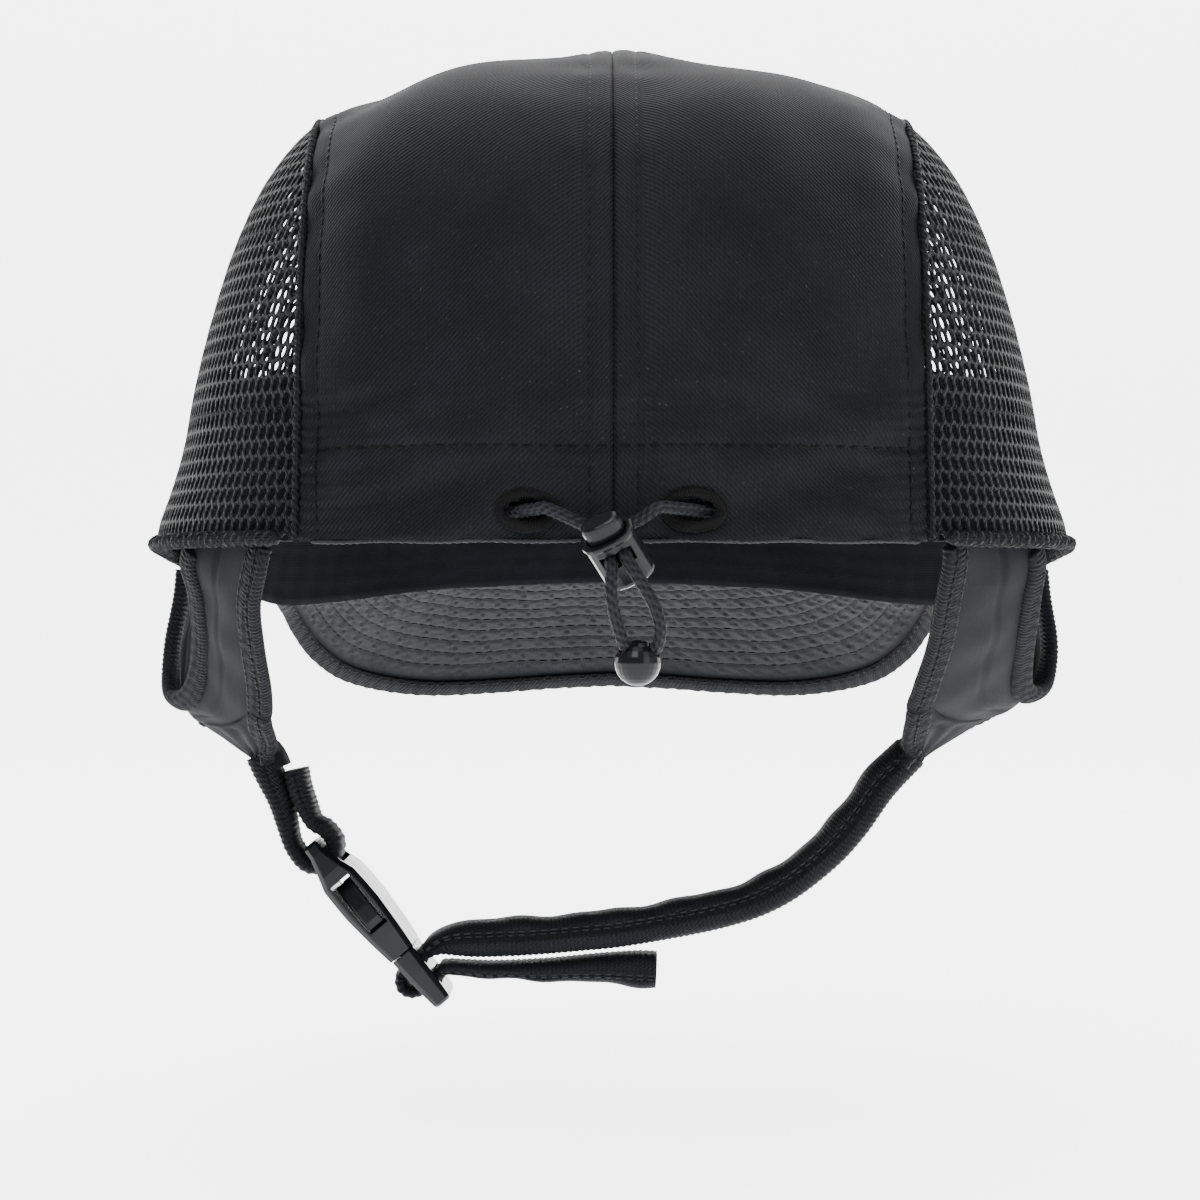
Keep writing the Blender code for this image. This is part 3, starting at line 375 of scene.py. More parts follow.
LINING = textile("brim_poplin", (0.005, 0.0062, 0.0085), (0.014, 0.018, 0.022), 0.5,
                 [(0.5, "X", 0.6), (0.5, "Y", 0.6)], 0.4, sheen=0.10)
TAPE = textile("twill_tape", (0.006, 0.006, 0.008), (0.016, 0.016, 0.019), 0.8,
               [(0.8, "DIAGONAL", 1.0)], 0.6)
THREAD = textile("black_thread", (0.002, 0.002, 0.0025), (0.006, 0.006, 0.007), 0.45,
                 [(0.3, "DIAGONAL", 1.0)], 0.5)
PALE_THREAD = textile("grey_thread", (0.02, 0.022, 0.026), (0.06, 0.063, 0.07), 0.55,
                      [(0.3, "DIAGONAL", 1.0)], 0.5)
BRAID = textile("braided_elastic", (0.005, 0.0055, 0.007), (0.028, 0.030, 0.036), 0.5,
                [(0.9, "DIAGONAL", 1.0), (0.8, "X", 0.8)], 0.9, sheen=0.2)
ACETAL = moulded("black_acetal", (0.002, 0.0023, 0.003), 0.2)
FOAM = moulded("foam_board", (0.05, 0.05, 0.055), 0.9, grain=0.5)
STEEL = moulded("spring_steel", (0.5, 0.5, 0.52), 0.3, metallic=1.0)


# ---- meshes

def mesh_object(name, points, faces, uv, mat, smooth=True):
    """An object from points in millimetres, with a weave map in millimetres."""
    points = np.asarray(points, float).reshape(-1, 3)
    mesh = bpy.data.meshes.new(name)
    mesh.from_pydata((points * MM).tolist(), [], [tuple(int(k) for k in f) for f in faces])
    mesh.update()
    uv = np.asarray(uv, float).reshape(-1, 2)
    layer = mesh.uv_layers.new(name="weave")
    corner = np.empty(len(mesh.loops), dtype=np.int32)
    mesh.loops.foreach_get("vertex_index", corner)
    layer.data.foreach_set("uv", uv[corner].ravel())
    mesh.materials.append(mat)
    if smooth:
        mesh.shade_smooth()
    obj = bpy.data.objects.new(name, mesh)
    bpy.context.scene.collection.objects.link(obj)
    return obj


def grid_faces(rows, columns, closed=False):
    faces = []
    for r in range(rows - 1):
        for c in range(columns if closed else columns - 1):
            d = (c + 1) % columns
            faces.append((r * columns + c, r * columns + d, (r + 1) * columns + d, (r + 1) * columns + c))
    return faces


def grid_uv(points):
    across = np.concatenate([np.zeros((len(points), 1)),
                             np.cumsum(np.linalg.norm(np.diff(points, axis=1), axis=2), axis=1)], axis=1)
    down = np.concatenate([np.zeros((1, points.shape[1])),
                           np.cumsum(np.linalg.norm(np.diff(points, axis=0), axis=2), axis=0)], axis=0)
    return np.stack([across - across[:, -1:] / 2, down], axis=-1)


def cloth(name, points, thickness, mat, away_from, closed=False):
    """A grid of points as cloth of this thickness under its outer face, which looks away from a point."""
    faces = grid_faces(*points.shape[:2], closed)
    obj = mesh_object(name, points, faces, grid_uv(points), mat)
    middle = obj.data.polygons[len(obj.data.polygons) // 2]
    if np.dot(middle.normal, np.array(middle.center) - np.array(away_from) * MM) < 0:
        obj.data.flip_normals()
    solid = obj.modifiers.new("thickness", "SOLIDIFY")
    solid.thickness = thickness * MM
    solid.offset = -1
    solid.use_even_offset = False
    return obj


@contextlib.contextmanager
def edited(mesh):
    """The mesh open for editing, and written back at the end."""
    work = bmesh.new()
    work.from_mesh(mesh)
    yield work
    work.to_mesh(mesh)
    work.free()


def tube_mesh(name, rings, mat):
    """A closed skin through rings (stations, around, 3), with flat ends."""
    n, m = rings.shape[:2]
    faces = grid_faces(n, m, closed=True) + [list(range(m))[::-1], [(n - 1) * m + k for k in range(m)]]
    along = arc_length(rings.mean(axis=1))
    around = np.linspace(0, 1, m, endpoint=False) * np.linalg.norm(
        np.diff(rings[n // 2], axis=0), axis=1).sum()
    uv = np.stack(np.broadcast_arrays(around[None, :], along[:, None]), axis=-1)
    obj = mesh_object(name, rings, faces, uv, mat)
    with edited(obj.data) as work:
        bmesh.ops.recalc_face_normals(work, faces=work.faces[:])
    return obj


def dress(obj, body, slot, *nodes):
    """Attach a piece: body is None for one that is left unattached."""
    if body:
        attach(obj, body)
    if nodes:
        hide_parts(*nodes)
    return obj


def thread_line(name, path, out, mat, body, slot, length=2.1, gap=0.7, radius=0.26):
    """A row of separate stitches along a path, each a small bulging bar. out is the surface's normal there."""
    along = arc_length(path)
    count = max(1, int(along[-1] / (length + gap)))
    points, faces, uv = [], [], []
    shape = [(-0.5, 0.25), (-0.36, 0.85), (0, 1.0), (0.36, 0.85), (0.5, 0.25)]
    for k in range(count):
        at = (k + 0.5) * along[-1] / count
        centre = point_at(path, along, at)
        normal = unit(point_at(out, along, at))
        run = unit(point_at(path, along, min(at + 0.8, along[-1])) - point_at(path, along, max(at - 0.8, 0)))
        side = unit(np.cross(run, normal))
        first = len(points)
        for share, fat in shape:
            lift = 0.10 - 0.5 * (abs(share) * 2) ** 2 * radius
            for a in np.arange(6) * math.pi / 3:
                points.append(centre + run * share * length + side * math.cos(a) * radius * fat
                              + normal * (math.sin(a) * radius * fat + lift))
                uv.append((at + share * length, a * radius))
        faces += [[first + k for k in f] for f in grid_faces(len(shape), 6, closed=True)]
        faces.append([first + 5 - c for c in range(6)])
        faces.append([first + 6 * (len(shape) - 1) + c for c in range(6)])
    obj = mesh_object(name, points, faces, uv, mat)
    return dress(obj, body, slot)


def ripple(*terms):
    """Sum of sines: each term is (amplitude, phase in cycles)."""
    return sum(size * np.sin(2 * np.pi * turns) for size, turns in terms)


# ---- camera, light, floor

def studio():
    data = bpy.data.cameras.new("camera")
    data.lens = 18 / math.tan(math.radians(VIEW_ANGLE / 2))
    camera = bpy.data.objects.new("camera", data)
    camera.location = CAMERA_AT
    camera.rotation_euler = (math.radians(90), 0, math.radians(180))
    bpy.context.scene.collection.objects.link(camera)
    bpy.context.scene.camera = camera
    floor_z = CAD_BOX[0][2] - FLOOR_DROP
    points = [(x * 1000, y * 1000, (z + floor_z) * 1000)
              for y, z in PAPER_PROFILE for x in (-PAPER_SIDE, PAPER_SIDE)]
    faces = [(2 * k, 2 * k + 1, 2 * k + 3, 2 * k + 2) for k in range(len(PAPER_PROFILE) - 1)]
    mat, _, shader = shader_nodes("paper")
    shader.inputs["Base Color"].default_value = (0.93, 0.93, 0.93, 1)
    shader.inputs["Roughness"].default_value = 0.9
    shader.inputs["Emission Color"].default_value = (1, 1, 1, 1)
    shader.inputs["Emission Strength"].default_value = PAPER_GLOW
    floor = mesh_object("paper_floor", points, faces, [(0, 0)] * len(points), mat)
    world = bpy.data.worlds.new("studio")
    world.use_nodes = True
    world.node_tree.nodes["Background"].inputs["Color"].default_value = (1, 1, 1, 1)
    world.node_tree.nodes["Background"].inputs["Strength"].default_value = WORLD_GLOW
    bpy.context.scene.world = world
    for name, place, size, power in LIGHTS:
        light = bpy.data.lights.new(name, "AREA")
        light.size = size
        light.energy = power
        obj = bpy.data.objects.new(name, light)
        obj.location = place
        direction = np.array([0, 0, 0.02]) - np.array(place)
        spin = math.atan2(direction[1], direction[0])
        tilt = math.acos(-direction[2] / np.linalg.norm(direction))
        obj.rotation_euler = (tilt, 0, spin - math.pi / 2)
        bpy.context.scene.collection.objects.link(obj)


# ---- drawcord

def lock_point(wide_at, through_at, up_at):
    wide = np.array([-0.89, 0.16, 0.43])
    wide = unit(wide - LOCK_UP * wide.dot(LOCK_UP))
    return LOCK_CENTRE + wide * wide_at + np.cross(wide, LOCK_UP) * through_at + LOCK_UP * up_at


def cord_route(side):
    x0 = EYELETS[side]
    outboard = 1 if x0 > 0 else -1
    route = []
    for away, depth in CORD_IN_CASING:
        x = x0 + outboard * away
        p = np.array([x, float(wall_y(x, EYELET_Z)), EYELET_Z])
        route.append(p - crown_normal(p) * depth)
    route += [np.array(p) for p in CORD_TO_LOCK[side]]
    route += [lock_point(-outboard * LOCK_SPACING, h, LOCK_SLOT_AT) for h in (-5.2, -2.5, 0, 2.5, 4.6)]
    return route + [np.array(p) for p in CORD_FROM_LOCK[side]]


def round_rings(path, radius, turn, a, b):
    """Rings of points about a path, at these turns from its cross direction a towards b."""
    return path[:, None] + radius * (np.cos(turn)[:, None] * a[:, None] + np.sin(turn)[:, None] * b[:, None])


def frames(path, start=(0, 0, 1)):
    """Tangents and two cross directions that turn as little as they can."""
    run = unit(np.gradient(path, axis=0))
    side = [unit(np.cross(np.array(start, float), run[0]))]
    for k in range(1, len(path)):
        last = side[-1]
        side.append(unit(last - run[k] * last.dot(run[k])))
    side = np.array(side)
    return run, side, np.cross(run, side)


def drawcords():
    for side in EYELETS:
        route = cord_route(side)
        path = smooth_path(route, CORD_POINTS)
        along = arc_length(path)
        _, a, b = frames(path)
        turn = np.arange(16) / 16 * 2 * np.pi
        braid = ripple((0.07, along[:, None] / 1.5 + 4 * turn / (2 * np.pi)),
                       (0.07, along[:, None] / 1.5 - 4 * turn / (2 * np.pi)))
        r = (CORD_RADIUS - 0.05 + braid)[..., None]
        obj = tube_mesh(f"elastic_{side}", round_rings(path, r, turn, a, b), BRAID)
        dress(obj, None, "cord", f"drawcord_{side}")
        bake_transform(obj)


def lock_spring():
    """The coil under the lock's button."""
    turn = np.linspace(0, 2 * np.pi * SPRING_TURNS, 24 * SPRING_TURNS + 1)
    height = np.linspace(SPRING_FROM, SPRING_TO, len(turn))
    path = np.array([lock_point(SPRING_RADIUS * math.cos(a), SPRING_RADIUS * math.sin(a), h)
                     for a, h in zip(turn, height)])
    _, a, b = frames(path, LOCK_UP)
    around = np.arange(8) / 8 * 2 * np.pi
    obj = tube_mesh("lock_coil", round_rings(path, SPRING_WIRE, around, a, b), STEEL)
    dress(obj, "cord_lock", "spring_steel", "cord_lock_spring")
    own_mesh(obj)


def eyelets():
    """Buttonholes worked in satin stitch: a flattened ring with a bump for every thread."""
    for side, x in EYELETS.items():
        centre = np.array([x, float(wall_y(x, EYELET_Z)), EYELET_Z])
        out = crown_normal(centre)
        across = unit(np.cross([0, 0, 1.0], out))
        up = np.cross(out, across)
        n, m = 240, 12
        a = np.arange(n) / n * 2 * np.pi
        thread = 0.12 * np.abs(np.sin(30 * a))
        b = np.arange(m) / m * 2 * np.pi
        wide, high = EYELET_HALF
        run = np.stack([wide * np.cos(a), high * np.sin(a)], axis=-1)
        away = unit(np.stack([high * np.cos(a), wide * np.sin(a)], axis=-1))
        half_wide, half_high = 1.05, 0.55
        plan = run[:, None] + away[:, None] * (np.cos(b)[None, :, None] * (half_wide + thread[:, None, None]))
        lift = 0.35 + np.sin(b)[None, :] * (half_high + thread[:, None])
        points = (centre + plan[..., :1] * across + plan[..., 1:] * up + lift[..., None] * out)
        faces = grid_faces(n + 1, m, closed=True)
        points = np.concatenate([points, points[:1]], axis=0)
        obj = mesh_object(f"buttonhole_{side}", points, faces, grid_uv(points), THREAD)
        dress(obj, "crown", "binding", f"eyelet_{side}")


# ---- crown

def panel_relief(x, t, p):
    """Depth of puckers, folds and topstitched grooves, in millimetres below the smooth panel."""
    s = t * 95
    z = p[..., 2]
    edge = SEAM_X - np.abs(x)
    puckers = 0.28 * np.exp(-edge / 7) * ripple((1, s / 7.3 + x / 40), (0.6, s / 4.9))
    puckers += 0.20 * np.exp(-np.abs(np.abs(x) - 6) / 5) * ripple((1, s / 8.7), (0.5, s / 5.3))
    folds = 0.55 * ripple((1, x / 71 + s / 58 + 0.2), (0.7, x / 43 - s / 66), (0.5, x / 33 + s / 39 + 0.5))
    folds += 0.35 * ripple((1, (s + 0.8 * np.abs(x)) / 21 + 0.3)) * np.exp(-edge / 22)
    grooves = 0.35 * np.exp(-((np.abs(x) - TOPSTITCH_CENTRE) / 0.7) ** 2)
    grooves += 0.30 * np.exp(-((np.abs(x) - TOPSTITCH_SIDE) / 0.7) ** 2)
    grooves += 0.40 * np.exp(-(x / 0.6) ** 2) - 0.25 * (np.abs(x) < TOPSTITCH_CENTRE)
    rear = t < 1.2
    casing = 0.45 * np.exp(-((z - CASING_TOP) / 0.8) ** 2)
    casing += 0.25 * np.exp(-np.abs(z - CASING_TOP) / 5) * ripple((1, x / 7.7), (0.5, x / 4.3))
    hem = 0.35 * np.exp(-z / 2.5) * ripple((1, x / 13), (0.6, x / 7.1 + 0.3))
    return puckers + folds * np.clip(edge / 12, 0.15, 1) + grooves + np.where(rear, casing + hem, 0)


def woven_panels():
    nx, nt = 62, 190
    for side, sign in (("left", 1), ("right", -1)):
        x = sign * np.linspace(0.04, SEAM_X - 0.1, nx)[None, :]
        t = np.concatenate([np.linspace(0, 1, 46)[:-1], np.linspace(1, FRONT_SEAM, nt - 45)])[:, None]
        base = arch(x, t)
        p = base - crown_normal(base) * panel_relief(x, t, base)[..., None]
        lowest = p[0].copy()
        lowest[:, 2] = -0.2 + 0.12 * np.sin(x[0] / 3.1)
        p[0] = lowest
        obj = cloth(f"back_cloth_{side}", p, WOVEN_THICK, WOVEN, (0, 0, ARCH_CENTRE_Z))
        dress(obj, "crown", "woven", f"back_panel_{side}")
        punch_eyelet(obj, side)
    x = np.linspace(-SEAM_X + 0.1, SEAM_X - 0.1, 110)[None, :]
    t = np.concatenate([np.linspace(FRONT_SEAM + 0.002, 2, 50)[:-1], np.linspace(2, 3, 36)])[:, None]
    base = arch(x, t)
    edge = SEAM_X - np.abs(x)
    folds = 0.4 * ripple((1, x / 71 + t), (0.6, x / 43 - 1.4 * t), (0.4, x / 31 + 2.1 * t))
    folds = folds + 0.25 * np.exp(-edge / 7) * ripple((1, t * 95 / 7.1)) \
        + 0.3 * np.exp(-((np.abs(x) - TOPSTITCH_SIDE) / 0.7) ** 2)
    p = base - crown_normal(base) * folds[..., None]
    obj = cloth("front_cloth", p, WOVEN_THICK, WOVEN, (0, 0, ARCH_CENTRE_Z))
    dress(obj, "crown", "woven", "front_panel")


def punch_eyelet(panel, side):
    """Open the panel where the cord leaves it."""
    x0 = EYELETS[side]
    with edited(panel.data) as work:
        gone = [f for f in work.faces
                if ((f.calc_center_median().x / MM - x0) / PUNCH_HALF[0]) ** 2
                + ((f.calc_center_median().z / MM - EYELET_Z) / PUNCH_HALF[1]) ** 2 < 1]
        bmesh.ops.delete(work, geom=gone, context="FACES")


def crown_thread(name, base, depth):
    out = crown_normal(base)
    thread_line(name, base - out * depth, out, THREAD, "crown", "woven")


def crown_stitching():
    t_rear, t_front = np.linspace(0.02, FRONT_SEAM - 0.01, 260), np.linspace(FRONT_SEAM + 0.01, 2.98, 150)
    for side, sign in (("left", 1), ("right", -1)):
        for label, at in (("centre", TOPSTITCH_CENTRE), ("side", TOPSTITCH_SIDE)):
            x = np.full_like(t_rear, sign * at)
            base = arch(x, t_rear)
            crown_thread(f"topstitch_{label}_{side}", base, panel_relief(x, t_rear, base)[:, None])
        x = sign * np.linspace(0.8, SEAM_X - 3.4, 90)
        base = np.stack([x, wall_y(x, CASING_TOP), np.full_like(x, CASING_TOP)], axis=-1)
        depth = panel_relief(x, np.full_like(x, CASING_TOP / ARCH_CENTRE_Z), base)
        crown_thread(f"topstitch_casing_{side}", base, depth[:, None])
        base = arch(np.full_like(t_front, sign * TOPSTITCH_SIDE), t_front)
        crown_thread(f"topstitch_front_{side}", base, 0.25)


def mesh_panels():
    """Pointed hexagonal cells laid at a constant size over the curved side, cut off at the seam."""
    z_top = 92.0
    zs = np.linspace(0, z_top, 60)
    profile = np.stack([side_x(np.zeros_like(zs), zs), zs], axis=-1)
    rise = arc_length(profile)
    tables = []
    for z in zs:
        x = min(SEAM_X + 0.3, HALF_WIDTH(z) - 0.01)
        reach_back, reach_front = float(wall_y(x, z)), -float(wall_y(x, z, True))
        c = np.linspace(-1, 1, 121)
        y = np.where(c < 0, reach_front, reach_back) * np.sin(np.pi / 2 * c)
        arc = arc_length(np.stack([side_x(y, np.full_like(y, z)), y], axis=-1))
        tables.append((arc - arc[60], y))

    def place(a, s):
        z = np.interp(s, rise, zs)
        k = min(int(z / z_top * 59), 58)
        f = (z - zs[k]) / (zs[k + 1] - zs[k])
        (arc0, y0), (arc1, y1) = tables[k], tables[k + 1]
        y = (1 - f) * np.interp(a, arc0, y0) + f * np.interp(a, arc1, y1)
        x = float(side_x(np.array(y), np.array(z)))
        z += float(hem_z(x, y)) * max(0, 1 - z / 40)
        return np.array([x, y, z]), arc0[0] < a < arc0[-1]

    for side, sign in (("left", 1), ("right", -1)):
        points, index, faces, uv = [], {}, [], []

        def vertex(a, s):
            key = (round(a * 50), round(s * 50))
            if key not in index:
                p, _ = place(a, min(max(s, 0.0), rise[-1]))
                jitter = 0.10 * np.sin(np.array([a * 3.1 + s, a * 2.3 - s * 1.7, a + s * 2.9]))
                index[key] = len(points)
                points.append((p + jitter * [0.4, 1, 1]) * [sign, 1, 1])
                uv.append((a, s))
            return index[key]

        rows = int(rise[-1] / (CELL_HIGH * 0.75)) + 1
        for j in range(rows + 1):
            s = j * CELL_HIGH * 0.75
            for i in range(-40, 41):
                a = (i + (j % 2) / 2) * CELL_WIDE
                if s > rise[-1] or not place(a, min(s, rise[-1]))[1]:
                    continue
                corner = [(0, 0.5), (0.5, 0.25), (0.5, -0.25), (0, -0.5), (-0.5, -0.25), (-0.5, 0.25)]
                rim = [(a + u * CELL_WIDE, s + v * CELL_HIGH) for u, v in corner]
                hole = [(a + u * CELL_WIDE * HOLE_SHARE, s + v * CELL_HIGH * (HOLE_SHARE + 0.08))
                        for u, v in corner]
                outer, inner = [vertex(*p) for p in rim], [vertex(*p) for p in hole]
                for k in range(6):
                    quad = (outer[k], outer[(k + 1) % 6], inner[(k + 1) % 6], inner[k])
                    if len(set(quad)) == 4:
                        faces.append(quad)
        obj = mesh_object(f"hex_mesh_{side}", points, faces, uv, YARN)
        with edited(obj.data) as work:
            bmesh.ops.dissolve_degenerate(work, edges=work.edges[:], dist=0.00005)
            bmesh.ops.recalc_face_normals(work, faces=work.faces[:])
        solid = obj.modifiers.new("thickness", "SOLIDIFY")
        solid.thickness = MESH_THICK * MM
        solid.offset = -1
        round_off = obj.modifiers.new("round", "SUBSURF")
        round_off.levels = 1
        round_off.render_levels = 1
        dress(obj, "crown", "mesh", f"side_mesh_{side}")
        edges = []
        for front in (True, False):
            top = float(np.interp(SEAM_X + 0.3, HALF_WIDTH(zs)[::-1], zs[::-1]))
            z = np.linspace(0, top, 120)
            x = np.full_like(z, SEAM_X + 0.9)
            y = wall_y(np.minimum(x, HALF_WIDTH(z) - 0.05), z, front)
            edges.append(np.stack([x * sign, y, z + hem_z(x, y) * np.maximum(0, 1 - z / 40)], axis=-1))
        y = np.linspace(edges[0][0][1], edges[1][0][1], 200)
        x = side_x(y, np.zeros_like(y))
        hem = np.stack([x * sign, y, hem_z(x, y) + 0.6], axis=-1)
        overlock(f"mesh_hem_{side}", hem, 1.7, "crown", "mesh")
        overlock(f"mesh_edge_rear_{side}", edges[1], 0.9, "crown", "mesh")
        overlock(f"mesh_edge_front_{side}", edges[0], 0.9, "crown", "mesh")


def overlock(name, route, radius, body, slot, mat=None, pitch=2.4):
    """A rolled, overcast edge: a tube with slanted bumps."""
    path = smooth_path(route[::4], max(60, int(arc_length(route)[-1] / 0.45)))
    along = arc_length(path)
    _, a, b = frames(path, (1, 0.2, 0.1))
    turn = np.arange(12) / 12 * 2 * np.pi
    r = radius * (0.85 + 0.16 * np.sin(2 * np.pi * along[:, None] / pitch + turn)
                  + 0.09 * np.sin(2 * np.pi * along[:, None] / (pitch * 0.37) - 2 * turn))
    ends = np.clip(np.minimum(along, along[-1] - along) / (radius * 0.9), 0.05, 1) ** 0.5
    r = (r * ends[:, None])[..., None]
    return dress(tube_mesh(name, round_rings(path, r, turn, a, b), mat or YARN), body, slot)


def inner_bands():
    """Sweatband, casing lining and the seam tapes."""
    angle = np.linspace(0, 2 * np.pi, 361)[:-1]
    edge = ring(angle, np.zeros_like(angle))
    fore = np.clip((np.cos(angle) - 0.1) / 0.5, 0, 1)
    low = hem_z(edge[:, 0], edge[:, 1]) + 0.8 - SWEATBAND_FRONT_DROP * fore
    rows = []
    for share in np.linspace(0, 1, 30):
        z = low + share * (SWEATBAND_TOP - low)
        ridges = 0.16 * np.sin(2 * np.pi * share * 11) + 0.12 * np.sin(angle * 90 + share * 9)
        seam = 0.5 * np.exp(-((share - 0.9) / 0.03) ** 2)
        p = ring(angle, z)
        rows.append(p - crown_normal(p) * (SWEATBAND_DEPTH + ridges + seam)[..., None])
    obj = cloth("sweatband_knit", np.array(rows), 1.1, TRICOT, (0, 0, 17), closed=True)
    dress(obj, "crown", "knit", "sweatband")
    x = np.linspace(-58, 58, 150)[None, :]
    z = np.linspace(1, CASING_TOP, 16)[:, None]
    x, z = np.broadcast_arrays(x, z)
    p = np.stack([x, wall_y(x, z), z], axis=-1)
    depth = CASING_DEPTH + 0.12 * np.sin(x / 2.1) + 0.1 * np.sin(z)
    obj = cloth("casing_lining", p - crown_normal(p) * depth[..., None], 0.7, WOVEN, (0, 0, 9))
    dress(obj, "crown", "woven", "drawcord_casing")
    first, front_end = 1.023, 1.977
    for name, x0, kind, last in (("centre_seam_tape", 0, 0, FRONT_SEAM),
                                 ("side_seam_tape_left", SEAM_X, 1, front_end),
                                 ("side_seam_tape_right", -SEAM_X, 1, front_end)):
        half, depth = TAPE_HALF_WIDTH[kind], SEAM_TAPE_DEPTH[kind]
        x = (x0 + half * np.linspace(-1, 1, 9))[None, :]
        t = np.linspace(first, last, 200)[:, None]
        base = arch(x, t)
        down = depth + 0.15 * np.cos((x - x0) / half * 3 * np.pi) + 0.08 * np.sin(t * 95 / 1.3)
        obj = cloth(f"{name}_twill", base - crown_normal(base) * down[..., None], TAPE_THICK, TAPE,
                    (0, 0, ARCH_CENTRE_Z))
        dress(obj, "crown", "tape", name)


def hem_fringe():
    """The rear hem's turned edge: a thin rolled lip in pale thread."""
    x = np.linspace(-59.5, 59.5, 400)
    route = np.stack([x, wall_y(x, 0.0) - 0.2, -0.3 + 0.12 * np.sin(x / 3.1)], axis=-1)
    overlock("rear_hem_roll", route, 0.42, "crown", "woven", mat=PALE_THREAD, pitch=1.6)


# ---- brim

def brim_grid(rows, columns):
    half = smooth_path(BRIM_EDGE, columns)
    outer = np.concatenate([half, half[-2::-1] * [-1, 1, 1]])
    angle = np.radians(BRIM_ANGLE) * np.linspace(1, -1, len(outer))
    inner = ring(angle, np.full_like(angle, -2.0), BRIM_START_DEPTH)
    inner[:, 2] = hem_z(inner[:, 0], inner[:, 1]) - BRIM_DROP
    t = np.linspace(0, 1, rows)[:, None, None]
    p = inner[None] * (1 - t) + outer[None] * t
    reach = np.linalg.norm(outer - inner, axis=1)
    p[..., 2] += BRIM_BOW * reach * (4 * t * (1 - t))[..., 0]
    return p, reach, arc_length(outer)


def grid_normals(p):
    n = unit(np.cross(np.gradient(p, axis=1), np.gradient(p, axis=0)))
    return n * np.sign(n[..., 2:3])


def brim():
    p, reach, along = brim_grid(84, 130)
    normal = grid_normals(p)
    t = np.linspace(0, 1, len(p))[:, None]
    inset = (1 - t) * reach[None, :]
    fade = np.clip((inset - 5) / 4, 0, 1) * np.clip(t / 0.12, 0, 1)
    row = inset / QUILT_PITCH
    groove = 0.45 * np.exp(-(((row + 0.5) % 1 - 0.5) * QUILT_PITCH / 0.55) ** 2)
    number = np.round(row)
    pucker = np.abs(np.sin(np.pi * row)) * ripple((1, along[None] / 5.1 + number * 0.37),
                                                 (0.6, along[None] / 3.3 + number * 0.61))
    relief = fade * (groove + 0.22 * pucker)
    top = p - normal * (relief * 0.5)[..., None]
    under = p - normal * (BRIM_STACK - relief)[..., None]
    broad = 0.4 * ripple((1, along[None] / 47 + t), (0.6, along[None] / 23 - t))
    under = under + normal * (broad * fade * 0.5)[..., None]
    upper = cloth("brim_top_cloth", top, 0.6, WOVEN, (0, -120, -300))
    dress(upper, "crown", "woven", "brim_upper_cover")
    lower = cloth("brim_under_cloth", under, 0.6, LINING, (0, -120, 300))
    dress(lower, "crown", "woven", "brim_lower_cover")
    for k in range(2, 10):
        inset_at = k * QUILT_PITCH
        share = 1 - inset_at / reach
        good = share > 0.08
        if good.sum() < 20:
            continue
        for label, grid, sign in (("top", top, 1), ("under", under, -1)):
            path = []
            outs = []
            for c in np.flatnonzero(good):
                at = share[c] * (len(p) - 1)
                i = min(int(at), len(p) - 2)
                f = at - i
                path.append(grid[i, c] * (1 - f) + grid[i + 1, c] * f)
                outs.append(normal[i, c] * sign)
            thread_line(f"brim_stitch_{label}_{k}", np.array(path), np.array(outs), THREAD, "crown", "woven",
                        length=2.0, gap=0.9, radius=0.2)
    brim_edging(p, normal)


def brim_edging(p, normal):
    """Bias binding folded round the brim's edge, with its row of stitches."""
    edge, inward = p[-1, 2:-2], unit(p[-8, 2:-2] - p[-1, 2:-2])
    up = normal[-1, 2:-2]
    along = arc_length(edge)
    leg, half = 5.2, BRIM_STACK / 2 + 1.15
    a = np.linspace(-1, 1, 15) * np.pi / 2
    nose = [(-1.35 * np.cos(v), half * np.sin(v)) for v in a]
    outer = [(leg, -half + 0.35), (leg * 0.5, -half)] + nose + [(leg * 0.5, half), (leg, half - 0.35)]
    inner = [(e, n - 0.45 * np.sign(n)) for e, n in ((leg, half - 0.35), (0.4, half - 0.1),
                                                     (0.4, -half + 0.1), (leg, -half + 0.35))]
    section = np.array(outer + inner)
    pucker = 0.14 * ripple((1, along / 4.3), (0.6, along / 2.7 + 0.2))
    rings = []
    for k in range(len(edge)):
        middle = edge[k] - up[k] * (BRIM_STACK / 2)
        fold = np.where(np.abs(section[:, 1]) > half * 0.6, pucker[k], 0)
        height = section[:, 1] + np.sign(section[:, 1]) * fold
        rings.append(middle + inward[k] * section[:, :1] + up[k] * height[:, None])
    obj = tube_mesh("brim_bias", np.array(rings), WOVEN)
    dress(obj, "crown", "binding", "brim_binding")
    for label, sign in (("top", 1), ("under", -1)):
        path = edge - up * (BRIM_STACK / 2) + inward * (leg - 0.9) + up * (sign * (half - 0.22))
        thread_line(f"brim_edge_stitch_{label}", path, up * sign, THREAD, "crown", "binding",
                    length=2.1, gap=0.8, radius=0.22)


# ---- yokes and strap

def wall_spot(y, z, sign):
    p = np.array([float(side_x(np.array(float(y)), np.array(float(z)))), y, z])
    p = p - crown_normal(p) * YOKE_DEPTH
    return p * [sign, 1, 1]


def sample(points, count):
    """count points at even steps through a point list, on a smooth curve."""
    p = with_ends(points)
    out = []
    for at in np.linspace(0, len(points) - 1, count):
        k = min(int(at), len(points) - 2)
        out.append(spline_point(p, k, at - k))
    return np.array(out)


